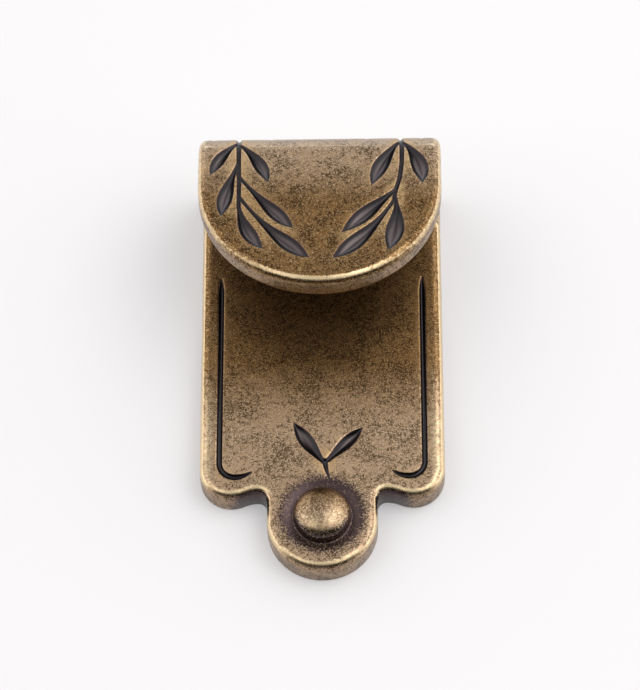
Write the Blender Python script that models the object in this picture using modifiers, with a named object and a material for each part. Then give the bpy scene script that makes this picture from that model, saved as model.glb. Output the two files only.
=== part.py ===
"""Drawer pull cast in one piece of brass.

A flat backplate with ogee shoulders and a round tongue lies with its back on Z = 0. Its upper
end turns up into a wall, bends over and comes back as a thick half-moon flap, which a finger
hooks under. A button stands in a dished ring on the tongue, a hooked groove runs down each side
of the plate, a pair of leaves is cut above the button, and a leaf sprig is cut into the flap on
each side, with its stem carried over the bend and down the wall.

Frame: origin at the middle of the back face, +Y towards the flap, +Z away from the drawer.
"""

from math import cos, log, pi, radians, sin
from typing import NamedTuple

import bmesh
import bpy
from mathutils import Matrix, Vector

MM = 0.001

# Backplate
WIDTH = 38.0 * MM
LENGTH = 68.0 * MM
PLATE_THICKNESS = 5.0 * MM
SHOULDER_DROP = 3.25 * MM
SHOULDER_CORNER_X = 4.9 * MM
SHOULDER_CORNER_Y = 5.2 * MM
OGEE_RISE = 0.9 * MM
TONGUE_HALF_WIDTH = 8.55 * MM
TONGUE_DROP = 8.8 * MM
TONGUE_FILLET = 1.45 * MM

# Wall, bend and flap
WALL_THICKNESS = 7.0 * MM
PROJECTION = 24.3 * MM
FLAP_REACH = 28.8 * MM
FLAP_THICKNESS = 4.5 * MM
FLAP_FLARE = radians(7.0)
BEND_RADIUS = 4.4 * MM
INNER_FILLET = 2.5 * MM

# Edges
EDGE_RADIUS = 1.4 * MM
BACK_EDGE_RADIUS = 0.3 * MM

# Button and its dished ring
BUTTON_RADIUS = 4.5 * MM
BUTTON_RISE = 2.9 * MM
BUTTON_FULLNESS = 2.5
BUTTON_ROOT = 0.9 * MM
RING_WIDTH = 1.9 * MM
RING_DEPTH = 0.3 * MM

# Hooked side grooves. The taper is the share of the full width at an end, one point in, and
# from there on.
GROOVE_HALF_WIDTH = 0.46 * MM
GROOVE_INSET = 3.1 * MM
GROOVE_TOP_GAP = 10.8 * MM
GROOVE_RUN_OUT = 2.2 * MM
GROOVE_TURN_RADIUS = 2.45 * MM
GROOVE_EDGE_MARGIN = 3.35 * MM
GROOVE_FLICK_RUN = 2.7 * MM
GROOVE_FLICK_RISE = 1.0 * MM
GROOVE_TAPER = (0.12, 0.75, 1.0)

# Screw holes in the back
SCREW_HOLE_RADIUS = 1.65 * MM
SCREW_HOLE_MOUTH = 2.1 * MM
SCREW_HOLE_POINT = 0.8 * MM
BUTTON_HOLE_DEPTH = 5.6 * MM
WALL_HOLE_DEPTH = 9.0 * MM

# Carving
SPRIG_INSET = 6.4 * MM
SPRIG_DROP = 0.55 * MM
CARVING_SLOPE = 0.9
CARVING_CLEARANCE = 0.35 * MM
LEAF_STALK = 0.35 * MM

# Facets
ARC_STEP = radians(9.0)
EDGE_SEGMENTS = 4
OGEE_STEPS = 7
BUTTON_STEPS = 9
RING_STEPS = 5
FLICK_STEPS = 3
LEAF_STATIONS = 11
ROUND_SIDES = 40
HOLE_SIDES = 20

# How far a former or a cutter stands clear of what it shapes, and how near points or faces count
# as one
FORMER_MARGIN = 2.0 * MM
CURVE_WELD = 0.0005 * MM
SOLID_WELD = 0.001 * MM
CUTTER_WELD = 0.002 * MM
FLUSH = 0.01 * MM
FLAT_ANGLE = radians(1.0)
OUTLINE_ANGLE = radians(45.0)
SHADING_ANGLE = radians(35.0)

# Places that follow from the sizes
WALL_Y = LENGTH / 2
BUTTON_Y = TONGUE_DROP - LENGTH / 2
SHOULDER_Y = BUTTON_Y + SHOULDER_DROP
FACE_UP = Vector((0, cos(FLAP_FLARE), -sin(FLAP_FLARE)))
FACE_OUT = Vector((0, sin(FLAP_FLARE), cos(FLAP_FLARE)))
TIP = Vector((0, WALL_Y - FLAP_REACH, PROJECTION))
BEND_Y = WALL_Y - BEND_RADIUS
BEND_Z = TIP.z - (BEND_RADIUS + (BEND_Y - TIP.y) * FACE_OUT.y) / FACE_OUT.z
BEND_CENTRE = Vector((0, BEND_Y, BEND_Z))
BEND_ANGLE = pi / 2 - FLAP_FLARE
FACE_START = BEND_CENTRE + FACE_OUT * BEND_RADIUS


class Leaf(NamedTuple):
    """A chip-cut leaf: where it starts and ends, its half width, bow to the left and fullest point."""

    base: tuple
    tip: tuple
    half_width: float
    bow: float
    belly: float


class Stem(NamedTuple):
    """A cut stem: its points in order and the half width at its start and end."""

    points: tuple
    half_start: float
    half_end: float


# Each sprig is drawn on the unrolled skin in millimetres. The first number is the distance
# outward from the stem's own line. The second is the distance from a line just below the bend,
# positive down the flap and negative over the bend and down the wall.
LEFT_SPRIG = (
    Stem(((0.1, -15.5), (0.0, -9.5), (0.05, -4.0), (0.0, 1.5), (-0.1, 6.0), (-0.1, 10.5)), 0.35, 0.6),
    Leaf((0.3, -2.2), (4.5, 4.3), 0.85, -0.5, 0.60),
    Leaf((-0.4, -1.6), (-4.7, 5.8), 0.95, 0.6, 0.60),
    Leaf((0.1, 2.0), (2.7, 12.2), 1.1, -0.3, 0.66),
    Leaf((-0.3, 4.8), (-8.7, 14.6), 1.1, -0.25, 0.70),
    Leaf((-0.3, 8.6), (-11.2, 20.2), 1.2, -0.75, 0.74),
    Leaf((-0.1, 9.8), (-4.1, 18.5), 1.05, -0.9, 0.62),
    Leaf((0.3, -10.2), (4.3, -4.3), 0.85, -0.5, 0.60),
    Leaf((-0.3, -9.8), (-5.0, -4.2), 0.95, 0.6, 0.60),
)
RIGHT_SPRIG = (
    Stem(
        (
            (0.0, -15.3), (-0.2, -9.5), (0.1, -4.0), (0.3, -1.0), (0.25, 2.0), (-0.1, 5.0),
            (-0.9, 8.0), (-1.0, 9.5),
        ),
        0.35, 0.6,
    ),
    Leaf((-0.3, -2.0), (-4.6, 6.6), 1.1, 0.4, 0.58),
    Leaf((0.4, -2.2), (3.4, 6.2), 1.2, -0.9, 0.62),
    Leaf((-0.7, 7.2), (-9.4, 15.6), 1.15, 0.0, 0.60),
    Leaf((-1.0, 9.2), (-10.8, 20.3), 1.25, -0.85, 0.70),
    Leaf((-0.8, 9.0), (-2.2, 19.0), 1.3, -0.7, 0.62),
    Leaf((-0.3, -9.9), (-5.1, -4.3), 0.95, 0.5, 0.60),
    Leaf((0.3, -10.4), (3.6, -4.4), 0.85, -0.5, 0.60),
)

# The pair of leaves on the plate, in millimetres to the right of the button's centre and above it
PLATE_SPRIG = (
    Stem(((0.4, 9.2), (0.7, 7.6), (1.25, 5.9)), 0.5, 0.12),
    Leaf((0.5, 8.7), (-4.6, 16.1), 1.1, 0.12, 0.58),
    Leaf((0.4, 8.9), (6.5, 15.1), 1.0, 0.0, 0.60),
)


def clear_scene():
    """Removes every object of the open scene."""
    for obj in list(bpy.data.objects):
        bpy.data.objects.remove(obj, do_unlink=True)


def collection_named(name):
    """A new collection linked to the scene."""
    collection = bpy.data.collections.new(name)
    bpy.context.scene.collection.children.link(collection)
    return collection


def object_from(bm, name, collection):
    """Turns a bmesh with outward faces into an object."""
    bmesh.ops.recalc_face_normals(bm, faces=bm.faces)
    mesh = bpy.data.meshes.new(name)
    bm.to_mesh(mesh)
    bm.free()
    obj = bpy.data.objects.new(name, mesh)
    collection.objects.link(obj)
    return obj


def as_helper(obj):
    """Marks an object as a cutter or former, which is not part of the model."""
    obj.hide_render = True
    obj.display_type = "WIRE"
    return obj


def steps_for(angle):
    """How many facets an arc of this angle gets."""
    return max(2, round(abs(angle) / ARC_STEP))


def arc(centre, radii, start, end):
    """Points along an elliptical arc in a plane, both ends included."""
    count = steps_for(end - start)
    turns = [start + (end - start) * i / count for i in range(count + 1)]
    return [Vector((centre[0] + radii[0] * cos(a), centre[1] + radii[1] * sin(a))) for a in turns]


def prism(outline, depth, name, collection):
    """A flat outline as a filled curve, extruded by depth upwards from Z = 0 and made a mesh."""
    curve = bpy.data.curves.new(name, "CURVE")
    curve.dimensions = "2D"
    curve.fill_mode = "BOTH"
    curve.extrude = depth / 2
    spline = curve.splines.new("POLY")
    spline.points.add(len(outline) - 1)
    for point, place in zip(spline.points, outline):
        point.co = (place[0], place[1], 0, 1)
    spline.use_cyclic_u = True
    return solid_of_curve(curve, name, collection, Matrix.Translation((0, 0, depth / 2)))


def solid_of_curve(curve, name, collection, placing=Matrix.Identity(4)):
    """Makes a closed mesh object of a curve, with its caps welded and its place in the mesh."""
    guide = bpy.data.objects.new(name + "_guide", curve)
    bpy.context.scene.collection.objects.link(guide)
    graph = bpy.context.evaluated_depsgraph_get()
    bm = bmesh.new()
    bm.from_mesh(bpy.data.meshes.new_from_object(guide.evaluated_get(graph)))
    bpy.data.objects.remove(guide, do_unlink=True)
    bmesh.ops.remove_doubles(bm, verts=bm.verts, dist=CURVE_WELD)
    bmesh.ops.transform(bm, matrix=placing, verts=bm.verts)
    return object_from(bm, name, collection)


def turned(profile, sides, centre, name, collection):
    """A profile of (radius, height) turned about an upright axis by a Screw modifier."""
    bm = bmesh.new()
    verts = [bm.verts.new((r, 0, z)) for r, z in profile]
    for a, b in zip(verts, verts[1:]):
        bm.edges.new((a, b))
    mesh = bpy.data.meshes.new(name)
    bm.to_mesh(mesh)
    bm.free()
    obj = bpy.data.objects.new(name, mesh)
    collection.objects.link(obj)
    screw = obj.modifiers.new("turn", "SCREW")
    screw.steps = sides
    screw.render_steps = sides
    screw.use_merge_vertices = True
    screw.merge_threshold = SOLID_WELD
    obj.location = centre
    return as_helper(obj)


def boolean(target, other, operation, solver="EXACT"):
    """Adds a Boolean with one object or with all of a collection."""
    modifier = target.modifiers.new(operation.lower(), "BOOLEAN")
    modifier.operation = operation
    modifier.solver = solver
    if isinstance(other, bpy.types.Collection):
        modifier.operand_type = "COLLECTION"
        modifier.collection = other
    else:
        modifier.object = other


def applied(obj):
    """Replaces an object's mesh by what its modifiers make of it, with flat faces merged."""
    graph = bpy.context.evaluated_depsgraph_get()
    bm = bmesh.new()
    bm.from_mesh(bpy.data.meshes.new_from_object(obj.evaluated_get(graph)))
    bmesh.ops.remove_doubles(bm, verts=bm.verts, dist=SOLID_WELD)
    bmesh.ops.dissolve_limit(bm, angle_limit=FLAT_ANGLE, verts=bm.verts, edges=bm.edges)
    obj.modifiers.clear()
    bm.to_mesh(obj.data)
    bm.free()
    return obj


def plate_outline():
    """The plate seen from the front: straight sides, ogee shoulders and a round tongue."""
    side = WIDTH / 2
    lobe_x = side - SHOULDER_CORNER_X
    fillet_x = TONGUE_HALF_WIDTH + TONGUE_FILLET
    fillet_y = SHOULDER_Y + OGEE_RISE - TONGUE_FILLET
    half = [Vector((side, WALL_Y))]
    half += arc((lobe_x, SHOULDER_Y + SHOULDER_CORNER_Y), (SHOULDER_CORNER_X, SHOULDER_CORNER_Y), 0, -pi / 2)
    for i in range(1, OGEE_STEPS):
        share = i / OGEE_STEPS
        rise = OGEE_RISE * (1 - cos(pi * share)) / 2
        half.append(Vector((lobe_x + (fillet_x - lobe_x) * share, SHOULDER_Y + rise)))
    half += arc((fillet_x, fillet_y), (TONGUE_FILLET, TONGUE_FILLET), pi / 2, pi)
    half += arc((0, BUTTON_Y), (TONGUE_HALF_WIDTH, TONGUE_DROP), 0, -pi / 2)
    return half + [Vector((-p.x, p.y)) for p in reversed(half[:-1])]


def hook_profile():
    """The wall, bend and flap seen from the side, as (Y, Z), with their foot in the plate."""
    wall_in = WALL_Y - WALL_THICKNESS
    under = FACE_START - FACE_OUT * FLAP_THICKNESS
    past_tip = TIP - FACE_UP * FORMER_MARGIN
    past_tip_under = past_tip - FACE_OUT * FLAP_THICKNESS
    crook_y = wall_in - INNER_FILLET
    crook_z = under.z - (INNER_FILLET + (crook_y - under.y) * FACE_OUT.y) / FACE_OUT.z
    foot = (crook_y, PLATE_THICKNESS + INNER_FILLET)
    outline = [Vector((crook_y, 0)), Vector((WALL_Y, 0))]
    outline += arc((BEND_Y, BEND_Z), (BEND_RADIUS, BEND_RADIUS), 0, BEND_ANGLE)
    outline += [past_tip.yz, past_tip_under.yz]
    outline += arc((crook_y, crook_z), (INNER_FILLET, INNER_FILLET), BEND_ANGLE, 0)
    outline += arc(foot, (INNER_FILLET, INNER_FILLET), 0, -pi / 2)
    return outline


def hook_former(collection):
    """The wall, bend and flap, drawn out wider than the plate."""
    width = WIDTH + 2 * FORMER_MARGIN
    hook = prism(hook_profile(), width, "hook_former", collection)
    stand_up = Matrix(((0, 0, 1, 0), (1, 0, 0, 0), (0, 1, 0, 0), (0, 0, 0, 1)))
    hook.data.transform(Matrix.Translation((-width / 2, 0, 0)) @ stand_up)
    return hook


def blank_former(collection):
    """The half-moon flap and the strip behind it, upright to the flap's plane and right through."""
    radius = WIDTH / 2
    back = FLAP_REACH + WALL_THICKNESS + BEND_RADIUS
    outline = arc((0, radius), (radius, radius), pi, 2 * pi)
    outline += [Vector((radius, back)), Vector((-radius, back))]
    depth = 2 * PROJECTION
    blank = prism(outline, depth, "blank_former", collection)
    lean = Matrix.Translation(TIP) @ Matrix.Rotation(-FLAP_FLARE, 4, "X")
    blank.data.transform(lean @ Matrix.Translation((0, 0, FORMER_MARGIN - depth)))
    return as_helper(blank)


def mark_edges(mesh):
    """Gives the sharp outline edges a bevel weight: full round in front, slight round at the back."""
    bm = bmesh.new()
    bm.from_mesh(mesh)
    weight = bm.edges.layers.float.new("bevel_weight_edge")
    for edge in bm.edges:
        if edge.calc_face_angle_signed(0) < OUTLINE_ANGLE:
            continue
        at_back = max(v.co.z for v in edge.verts) < FLUSH
        edge[weight] = BACK_EDGE_RADIUS / EDGE_RADIUS if at_back else 1.0
    bm.to_mesh(mesh)
    bm.free()


def button_former(collection):
    """The button, a steep-sided low dome that starts below the bottom of its ring."""
    profile = []
    for i in range(BUTTON_STEPS + 1):
        turn = pi / 2 * (1 - i / BUTTON_STEPS)
        r = BUTTON_RADIUS * cos(turn) ** (2 / BUTTON_FULLNESS)
        z = (BUTTON_RISE + BUTTON_ROOT) * sin(turn) ** (2 / BUTTON_FULLNESS) - BUTTON_ROOT
        profile.append((r, z))
    profile.append((0, -BUTTON_ROOT))
    return turned(profile, ROUND_SIDES, (0, BUTTON_Y, PLATE_THICKNESS), "button_former", collection)


def ring_cutter(collection):
    """The dish round the button, with a soft rim and its lowest place at the button."""
    outer = BUTTON_RADIUS + RING_WIDTH
    profile = [(0, FORMER_MARGIN), (outer + FORMER_MARGIN, FORMER_MARGIN)]
    for i in range(RING_STEPS + 1):
        share = i / RING_STEPS
        profile.append((outer - RING_WIDTH * share, -RING_DEPTH * (1 - cos(pi * share)) / 2))
    profile.append((0, -RING_DEPTH))
    return turned(profile, ROUND_SIDES, (0, BUTTON_Y, PLATE_THICKNESS), "ring_cutter", collection)


def hole_cutter(y, depth, name, collection):
    """A blind drilled hole for a screw from the back, with a widened mouth."""
    lead = SCREW_HOLE_MOUTH - SCREW_HOLE_RADIUS
    profile = [
        (0, depth + SCREW_HOLE_POINT),
        (SCREW_HOLE_RADIUS, depth),
        (SCREW_HOLE_RADIUS, lead),
        (SCREW_HOLE_MOUTH + lead, -lead),
        (0, -lead),
    ]
    return turned(profile, HOLE_SIDES, (0, y, 0), name, collection)


def groove_route():
    """The right groove's line on the plate: down the side, round the turn and up its flick."""
    x = WIDTH / 2 - GROOVE_INSET
    top = WALL_Y - WALL_THICKNESS - GROOVE_TOP_GAP
    turn = (x - GROOVE_TURN_RADIUS, SHOULDER_Y + GROOVE_EDGE_MARGIN + GROOVE_TURN_RADIUS)
    hook = arc(turn, (GROOVE_TURN_RADIUS, GROOVE_TURN_RADIUS), 0, -pi / 2)
    flick = []
    for i in range(1, FLICK_STEPS + 1):
        share = i / FLICK_STEPS
        flick.append(hook[-1] + Vector((-GROOVE_FLICK_RUN * share, GROOVE_FLICK_RISE * share * share)))
    return [Vector((x, top)), Vector((x, top - GROOVE_RUN_OUT))] + hook + flick


def groove_cutter(side, collection):
    """One hooked groove: a tube half sunk in the plate, thin at both ends."""
    route = groove_route()
    curve = bpy.data.curves.new("groove", "CURVE")
    curve.dimensions = "3D"
    curve.bevel_depth = GROOVE_HALF_WIDTH
    curve.bevel_resolution = 2
    curve.use_fill_caps = True
    spline = curve.splines.new("POLY")
    spline.points.add(len(route) - 1)
    for i, (point, place) in enumerate(zip(spline.points, route)):
        point.co = (side * place.x, place.y, PLATE_THICKNESS, 1)
        from_end = min(i, len(route) - 1 - i)
        point.radius = GROOVE_TAPER[min(from_end, len(GROOVE_TAPER) - 1)]
    return as_helper(solid_of_curve(curve, f"groove_cutter_{side}", collection))


def skin_point(x, reach, height):
    """A point over the outer skin, from its unrolled place and its height above the skin."""
    if reach >= 0:
        place = FACE_START - FACE_UP * reach + FACE_OUT * height
    else:
        turn = min(-reach / BEND_RADIUS, BEND_ANGLE)
        away = FACE_OUT * cos(turn) + FACE_UP * sin(turn)
        down = -reach - BEND_RADIUS * turn
        place = BEND_CENTRE + away * (BEND_RADIUS + height) - Vector((0, 0, down))
    return Vector((x, place.y, place.z))


def sprig_point(side, x, reach, height):
    """A point over the outer skin, from its place in a sprig's drawing and its height."""
    return skin_point(side * (WIDTH / 2 - SPRIG_INSET + x), SPRIG_DROP + reach, height)


def plate_point(x, y, height):
    """A point over the plate's front, from its place beside the button and its height."""
    return Vector((x, BUTTON_Y + y, PLATE_THICKNESS + height))


def leaf_stations(leaf):
    """Centre, direction and half width along a leaf, run on past the tip until it is clear."""
    base, tip = Vector(leaf.base) * MM, Vector(leaf.tip) * MM
    along = (tip - base).normalized()
    middle = (base + tip) / 2 + Vector((-along.y, along.x)) * 2 * leaf.bow * MM
    power = log(0.5) / log(leaf.belly)
    clear = CARVING_CLEARANCE / CARVING_SLOPE
    end = 1 + clear / (leaf.half_width * MM * pi * power)
    stations = []
    for i in range(LEAF_STATIONS + 1):
        t = end * i / LEAF_STATIONS
        centre = base * (1 - t) ** 2 + middle * 2 * t * (1 - t) + tip * t * t
        heading = (middle - base) * (1 - t) + (tip - middle) * t
        half = leaf.half_width * MM * sin(pi * t**power) if t < 1 else -clear * (t - 1) / (end - 1)
        stations.append((centre, heading.normalized(), half + LEAF_STALK * max(0, 1 - t)))
    return stations


def stem_stations(stem):
    """Centre, direction and half width at each point of a stem, with a run-out at both ends."""
    points = [Vector(p) * MM for p in stem.points]
    last = len(points) - 1
    clear = CARVING_CLEARANCE / CARVING_SLOPE
    first_way = (points[1] - points[0]).normalized()
    last_way = (points[last] - points[last - 1]).normalized()
    stations = [(points[0] - first_way * clear * 2, first_way, -clear)]
    for i, point in enumerate(points):
        way = (points[min(i + 1, last)] - points[max(i - 1, 0)]).normalized()
        half = stem.half_start + (stem.half_end - stem.half_start) * i / last
        stations.append((point, way, half * MM))
    stations.append((points[last] + last_way * clear * 2, last_way, -clear))
    return stations


def carve(stations, place, name, collection):
    """A three-sided cutter lofted along the stations, its point down, wrapped on by place."""
    bm = bmesh.new()
    clear = CARVING_CLEARANCE / CARVING_SLOPE
    rings = []
    for centre, heading, half in stations:
        across = Vector((-heading.y, heading.x)) * (half + clear)
        left, right = centre + across, centre - across
        corners = (
            place(left.x, left.y, CARVING_CLEARANCE),
            place(right.x, right.y, CARVING_CLEARANCE),
            place(centre.x, centre.y, -half * CARVING_SLOPE),
        )
        rings.append([bm.verts.new(corner) for corner in corners])
    for ring, following in zip(rings, rings[1:]):
        for i in range(3):
            j = (i + 1) % 3
            bm.faces.new((ring[i], ring[j], following[j], following[i]))
    bm.faces.new(rings[0])
    bm.faces.new(rings[-1][::-1])
    bmesh.ops.remove_doubles(bm, verts=bm.verts, dist=CUTTER_WELD)
    bmesh.ops.triangulate(bm, faces=bm.faces)
    return as_helper(object_from(bm, name, collection))


def carve_sprig(sprig, place, name, collection):
    """Cutters for a sprig's stem and leaves."""
    for number, piece in enumerate(sprig):
        stations = leaf_stations(piece) if isinstance(piece, Leaf) else stem_stations(piece)
        carve(stations, place, f"{name}_{number}", collection)


def brass(name):
    """Antiqued brass, rubbed bright on its high places."""
    material = bpy.data.materials.new(name)
    material.use_nodes = True
    shader = material.node_tree.nodes["Principled BSDF"]
    shader.inputs["Base Color"].default_value = (0.30, 0.20, 0.10, 1.0)
    shader.inputs["Metallic"].default_value = 1.0
    shader.inputs["Roughness"].default_value = 0.38
    return material


def build_blank(parts, formers):
    """The casting before it is carved: plate, wall, bend and flap in one, with rounded edges."""
    casting = prism(plate_outline(), PLATE_THICKNESS, "pull_casting", parts)
    hook = hook_former(formers)
    boolean(hook, blank_former(formers), "INTERSECT")
    boolean(casting, as_helper(applied(hook)), "UNION")
    applied(casting)
    mark_edges(casting.data)
    edges = casting.modifiers.new("edges", "BEVEL")
    edges.limit_method = "WEIGHT"
    edges.width = EDGE_RADIUS
    edges.segments = EDGE_SEGMENTS
    return casting


def build_cutters(carving):
    """The cutters for the sprigs, the grooves and the screw holes."""
    carve_sprig(LEFT_SPRIG, lambda x, y, h: sprig_point(-1, x, y, h), "left_sprig", carving)
    carve_sprig(RIGHT_SPRIG, lambda x, y, h: sprig_point(1, x, y, h), "right_sprig", carving)
    carve_sprig(PLATE_SPRIG, plate_point, "plate_sprig", carving)
    for side in (-1, 1):
        groove_cutter(side, carving)
    hole_cutter(BUTTON_Y, BUTTON_HOLE_DEPTH, "button_hole", carving)
    hole_cutter(WALL_Y - WALL_THICKNESS / 2, WALL_HOLE_DEPTH, "wall_hole", carving)


def build_pull():
    """Builds the casting and returns its object."""
    parts = collection_named("drawer_pull")
    formers = collection_named("formers")
    carving = collection_named("carving_cutters")
    casting = build_blank(parts, formers)
    boolean(casting, ring_cutter(formers), "DIFFERENCE")
    boolean(casting, button_former(formers), "UNION")
    build_cutters(carving)
    # The exact solver leaves seams open where these cutters cross one another.
    boolean(casting, carving, "DIFFERENCE", "MANIFOLD")
    casting.data.materials.append(brass("antique_brass"))
    casting.data.shade_smooth()
    casting.data.set_sharp_from_angle(angle=SHADING_ANGLE)
    return casting


clear_scene()
build_pull()
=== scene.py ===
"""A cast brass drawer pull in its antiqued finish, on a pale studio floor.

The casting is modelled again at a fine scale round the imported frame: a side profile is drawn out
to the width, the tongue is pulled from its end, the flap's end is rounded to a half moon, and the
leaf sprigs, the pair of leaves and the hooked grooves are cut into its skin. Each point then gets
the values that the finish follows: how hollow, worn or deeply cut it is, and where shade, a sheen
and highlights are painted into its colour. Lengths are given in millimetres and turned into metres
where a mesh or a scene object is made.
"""

import logging
from collections.abc import Callable
from dataclasses import dataclass, field
from enum import Enum
from math import cos, log, pi, radians, sin, tan

import bmesh
import bpy
import numpy as np
from mathutils import Matrix, Vector, noise


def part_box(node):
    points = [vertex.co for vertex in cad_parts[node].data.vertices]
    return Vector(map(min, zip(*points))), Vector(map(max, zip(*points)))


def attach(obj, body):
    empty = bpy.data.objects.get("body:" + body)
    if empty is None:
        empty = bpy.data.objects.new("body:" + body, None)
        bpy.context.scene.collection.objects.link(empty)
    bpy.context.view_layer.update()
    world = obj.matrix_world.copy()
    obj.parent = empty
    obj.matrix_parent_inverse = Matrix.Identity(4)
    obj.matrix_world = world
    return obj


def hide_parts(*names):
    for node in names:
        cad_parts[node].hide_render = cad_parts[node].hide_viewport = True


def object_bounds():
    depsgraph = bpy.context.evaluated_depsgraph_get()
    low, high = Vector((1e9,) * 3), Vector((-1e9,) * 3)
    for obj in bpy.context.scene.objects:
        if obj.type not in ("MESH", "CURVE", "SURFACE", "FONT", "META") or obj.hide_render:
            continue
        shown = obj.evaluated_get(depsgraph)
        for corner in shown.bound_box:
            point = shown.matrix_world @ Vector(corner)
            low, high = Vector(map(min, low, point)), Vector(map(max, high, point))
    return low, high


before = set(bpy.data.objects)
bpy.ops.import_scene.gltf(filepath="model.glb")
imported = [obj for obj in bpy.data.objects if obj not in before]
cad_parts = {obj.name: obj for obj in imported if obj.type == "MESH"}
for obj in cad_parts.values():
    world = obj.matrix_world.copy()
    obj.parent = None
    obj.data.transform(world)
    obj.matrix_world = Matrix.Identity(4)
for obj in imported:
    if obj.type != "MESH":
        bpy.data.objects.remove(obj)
CAD_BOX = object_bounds()

LOG = logging.getLogger("drawer_pull")
MM = 0.001
BODY = "root"
CAD_NODE = "pull_casting"
# Two places closer than this, in millimetres, count as one where edges and faces are picked.
SAME = 1e-3
# Points are put on whole steps of this many decimals, in millimetres.
FINEST_DIGITS = 5
# They are put in order along this line, turned so that hardly any two fall together on it.
SORT_WAY = Vector((1.0, 0.0173, 0.000311))
# What stands for the distance from a cut where there is none near.
FAR_OUTSIDE = -1e3

BMEdge = bmesh.types.BMEdge
BMFace = bmesh.types.BMFace
Socket = bpy.types.NodeSocket
Place = tuple[float, float]
Colour = tuple[float, float, float, float]


class Side(Enum):
    """The two halves of the pull, as the sign of X."""

    LEFT = -1.0
    RIGHT = 1.0


class Face(Enum):
    """The surfaces that carry carving."""

    SKIN = "skin"
    PLATE = "plate"


class Mask(Enum):
    """What each point of the casting stores for the finish, as the name of its attribute."""

    HOLLOW = "hollow"
    DEEP = "deep"
    # Rubbing is real wear, with painted highlights mixed in.
    RUB = "rub"
    STRIP = "strip"
    # The shade, pale and shine masks hold painted shade, a painted sheen on the bend and painted
    # highlights near the tips of leaves.
    SHADE = "shade"
    PALE = "pale"
    SHINE = "shine"


class Sum(Enum):
    """The arithmetic that the finish needs, as the name of the node's operation."""

    ADD = "ADD"
    SUBTRACT = "SUBTRACT"
    MULTIPLY = "MULTIPLY"
    MAXIMUM = "MAXIMUM"


@dataclass(frozen=True)
class Slope:
    """An even change between 0 and 1: the value where it is 0, and how far the value then goes."""

    zero: float
    over: float

    def up(self, values: np.ndarray) -> np.ndarray:
        """Shares that grow as the values rise past the zero."""
        return np.clip((values - self.zero) / self.over, 0, 1)

    def down(self, values: np.ndarray) -> np.ndarray:
        """Shares that grow as the values fall below the zero."""
        return np.clip((self.zero - values) / self.over, 0, 1)


@dataclass(frozen=True)
class Mark:
    """A cut as a tool makes it: stops along its line, and the half width of the cut at each."""

    centres: np.ndarray
    halves: np.ndarray
    scooped: bool = False
    tip_shine: Slope = Slope(0.30, 0.40)

    def inside(self, places: np.ndarray) -> np.ndarray:
        """How far each place lies inside the cut's outline.

        Args:
            places: Points on the unrolled surface, one row each.

        Returns:
            The distance in from the outline, negative outside it.
        """
        best = np.full(len(places), FAR_OUTSIDE)
        for centre, half in zip(self.centres, self.halves):
            gap = np.hypot(places[:, 0] - centre[0], places[:, 1] - centre[1])
            np.maximum(best, half - gap, out=best)
        return best

    def shine(self, places: np.ndarray) -> np.ndarray:
        """A highlight painted in the cut, rising from the foot of a scooped cut to its tip.

        Args:
            places: Points on the unrolled surface, one row each.

        Returns:
            A value from 0 to 1 for each place, 0 everywhere in a cut that isn't scooped.
        """
        if not self.scooped or not len(places):
            return np.zeros(len(places))
        off = places[None] - self.centres[:, None]
        nearest = np.argmax(self.halves[:, None] - np.hypot(off[..., 0], off[..., 1]), axis=0)
        return self.tip_shine.up(nearest / (len(self.halves) - 1))


@dataclass(frozen=True)
class Leaf:
    """A chip-cut leaf: its base, tip, half width, bow to the left and fullest point."""

    base: Place
    tip: Place
    half_width: float
    bow: float
    belly: float
    stalk: float = 0.35
    pinch: float = 1.25
    stops: int = 48

    def mark(self) -> Mark:
        """The leaf as stops along its bowed centre line.

        Returns:
            A scooped cut, pinched at its base and drawn to a point at its tip.
        """
        base, tip = np.array(self.base), np.array(self.tip)
        along = (tip - base) / np.linalg.norm(tip - base)
        middle = (base + tip) / 2 + np.array((-along[1], along[0])) * 2 * self.bow
        t = np.linspace(0, 1, self.stops)[:, None]
        line = base * (1 - t) ** 2 + middle * 2 * t * (1 - t) + tip * t**2
        power = log(0.5) / log(self.belly)
        share = t[:, 0]
        full = np.sin(pi * share**power) ** self.pinch
        return Mark(line, self.half_width * full + self.stalk * (1 - share), scooped=True)


@dataclass(frozen=True)
class Stem:
    """A cut stem: its points in order and its half width at the start and the end."""

    points: tuple[Place, ...]
    half_start: float
    half_end: float
    pitch: float = 0.12

    def mark(self) -> Mark:
        """The stem as evenly spaced stops along its points.

        Returns:
            A plain cut whose half width changes evenly from end to end.
        """
        points = np.array(self.points, float)
        steps = np.hypot(*np.diff(points, axis=0).T)
        at = np.concatenate([[0], np.cumsum(steps)])
        share = np.linspace(0, 1, max(2, round(at[-1] / self.pitch)))
        line = np.column_stack([np.interp(share * at[-1], at, points[:, i]) for i in (0, 1)])
        return Mark(line, self.half_start + (self.half_end - self.half_start) * share)


@dataclass(frozen=True)
class Section:
    """The shape of a cut across its line."""

    slope: float
    deepest: float
    rim: float

    def depth(self, inside: np.ndarray) -> np.ndarray:
        """Depth below the surface.

        Args:
            inside: Distance in from the cut's outline.

        Returns:
            The depth, zero well outside the outline, with a rounded rim and floor.
        """
        eased = (inside + np.sqrt(inside**2 + self.rim**2)) / 2
        wall = eased * self.slope
        return wall * self.deepest / np.sqrt(wall**2 + self.deepest**2)


@dataclass(frozen=True)
class Sprig:
    """Stems and leaves that are cut together, moved and mirrored onto a surface."""

    surface: Face
    cuts: tuple[Stem | Leaf, ...]
    origin: Place = (0.0, 0.0)
    outward: float = 1.0
    section: Section = Section(slope=1.15, deepest=0.95, rim=0.10)

    def marks(self) -> list[Mark]:
        """The cuts in the surface's own unrolled coordinates.

        Returns:
            One mark for each stem and leaf.
        """
        placed = []
        for cut in self.cuts:
            mark = cut.mark()
            centres = mark.centres * (self.outward, 1.0) + self.origin
            placed.append(Mark(centres, mark.halves, mark.scooped))
        return placed


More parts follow.
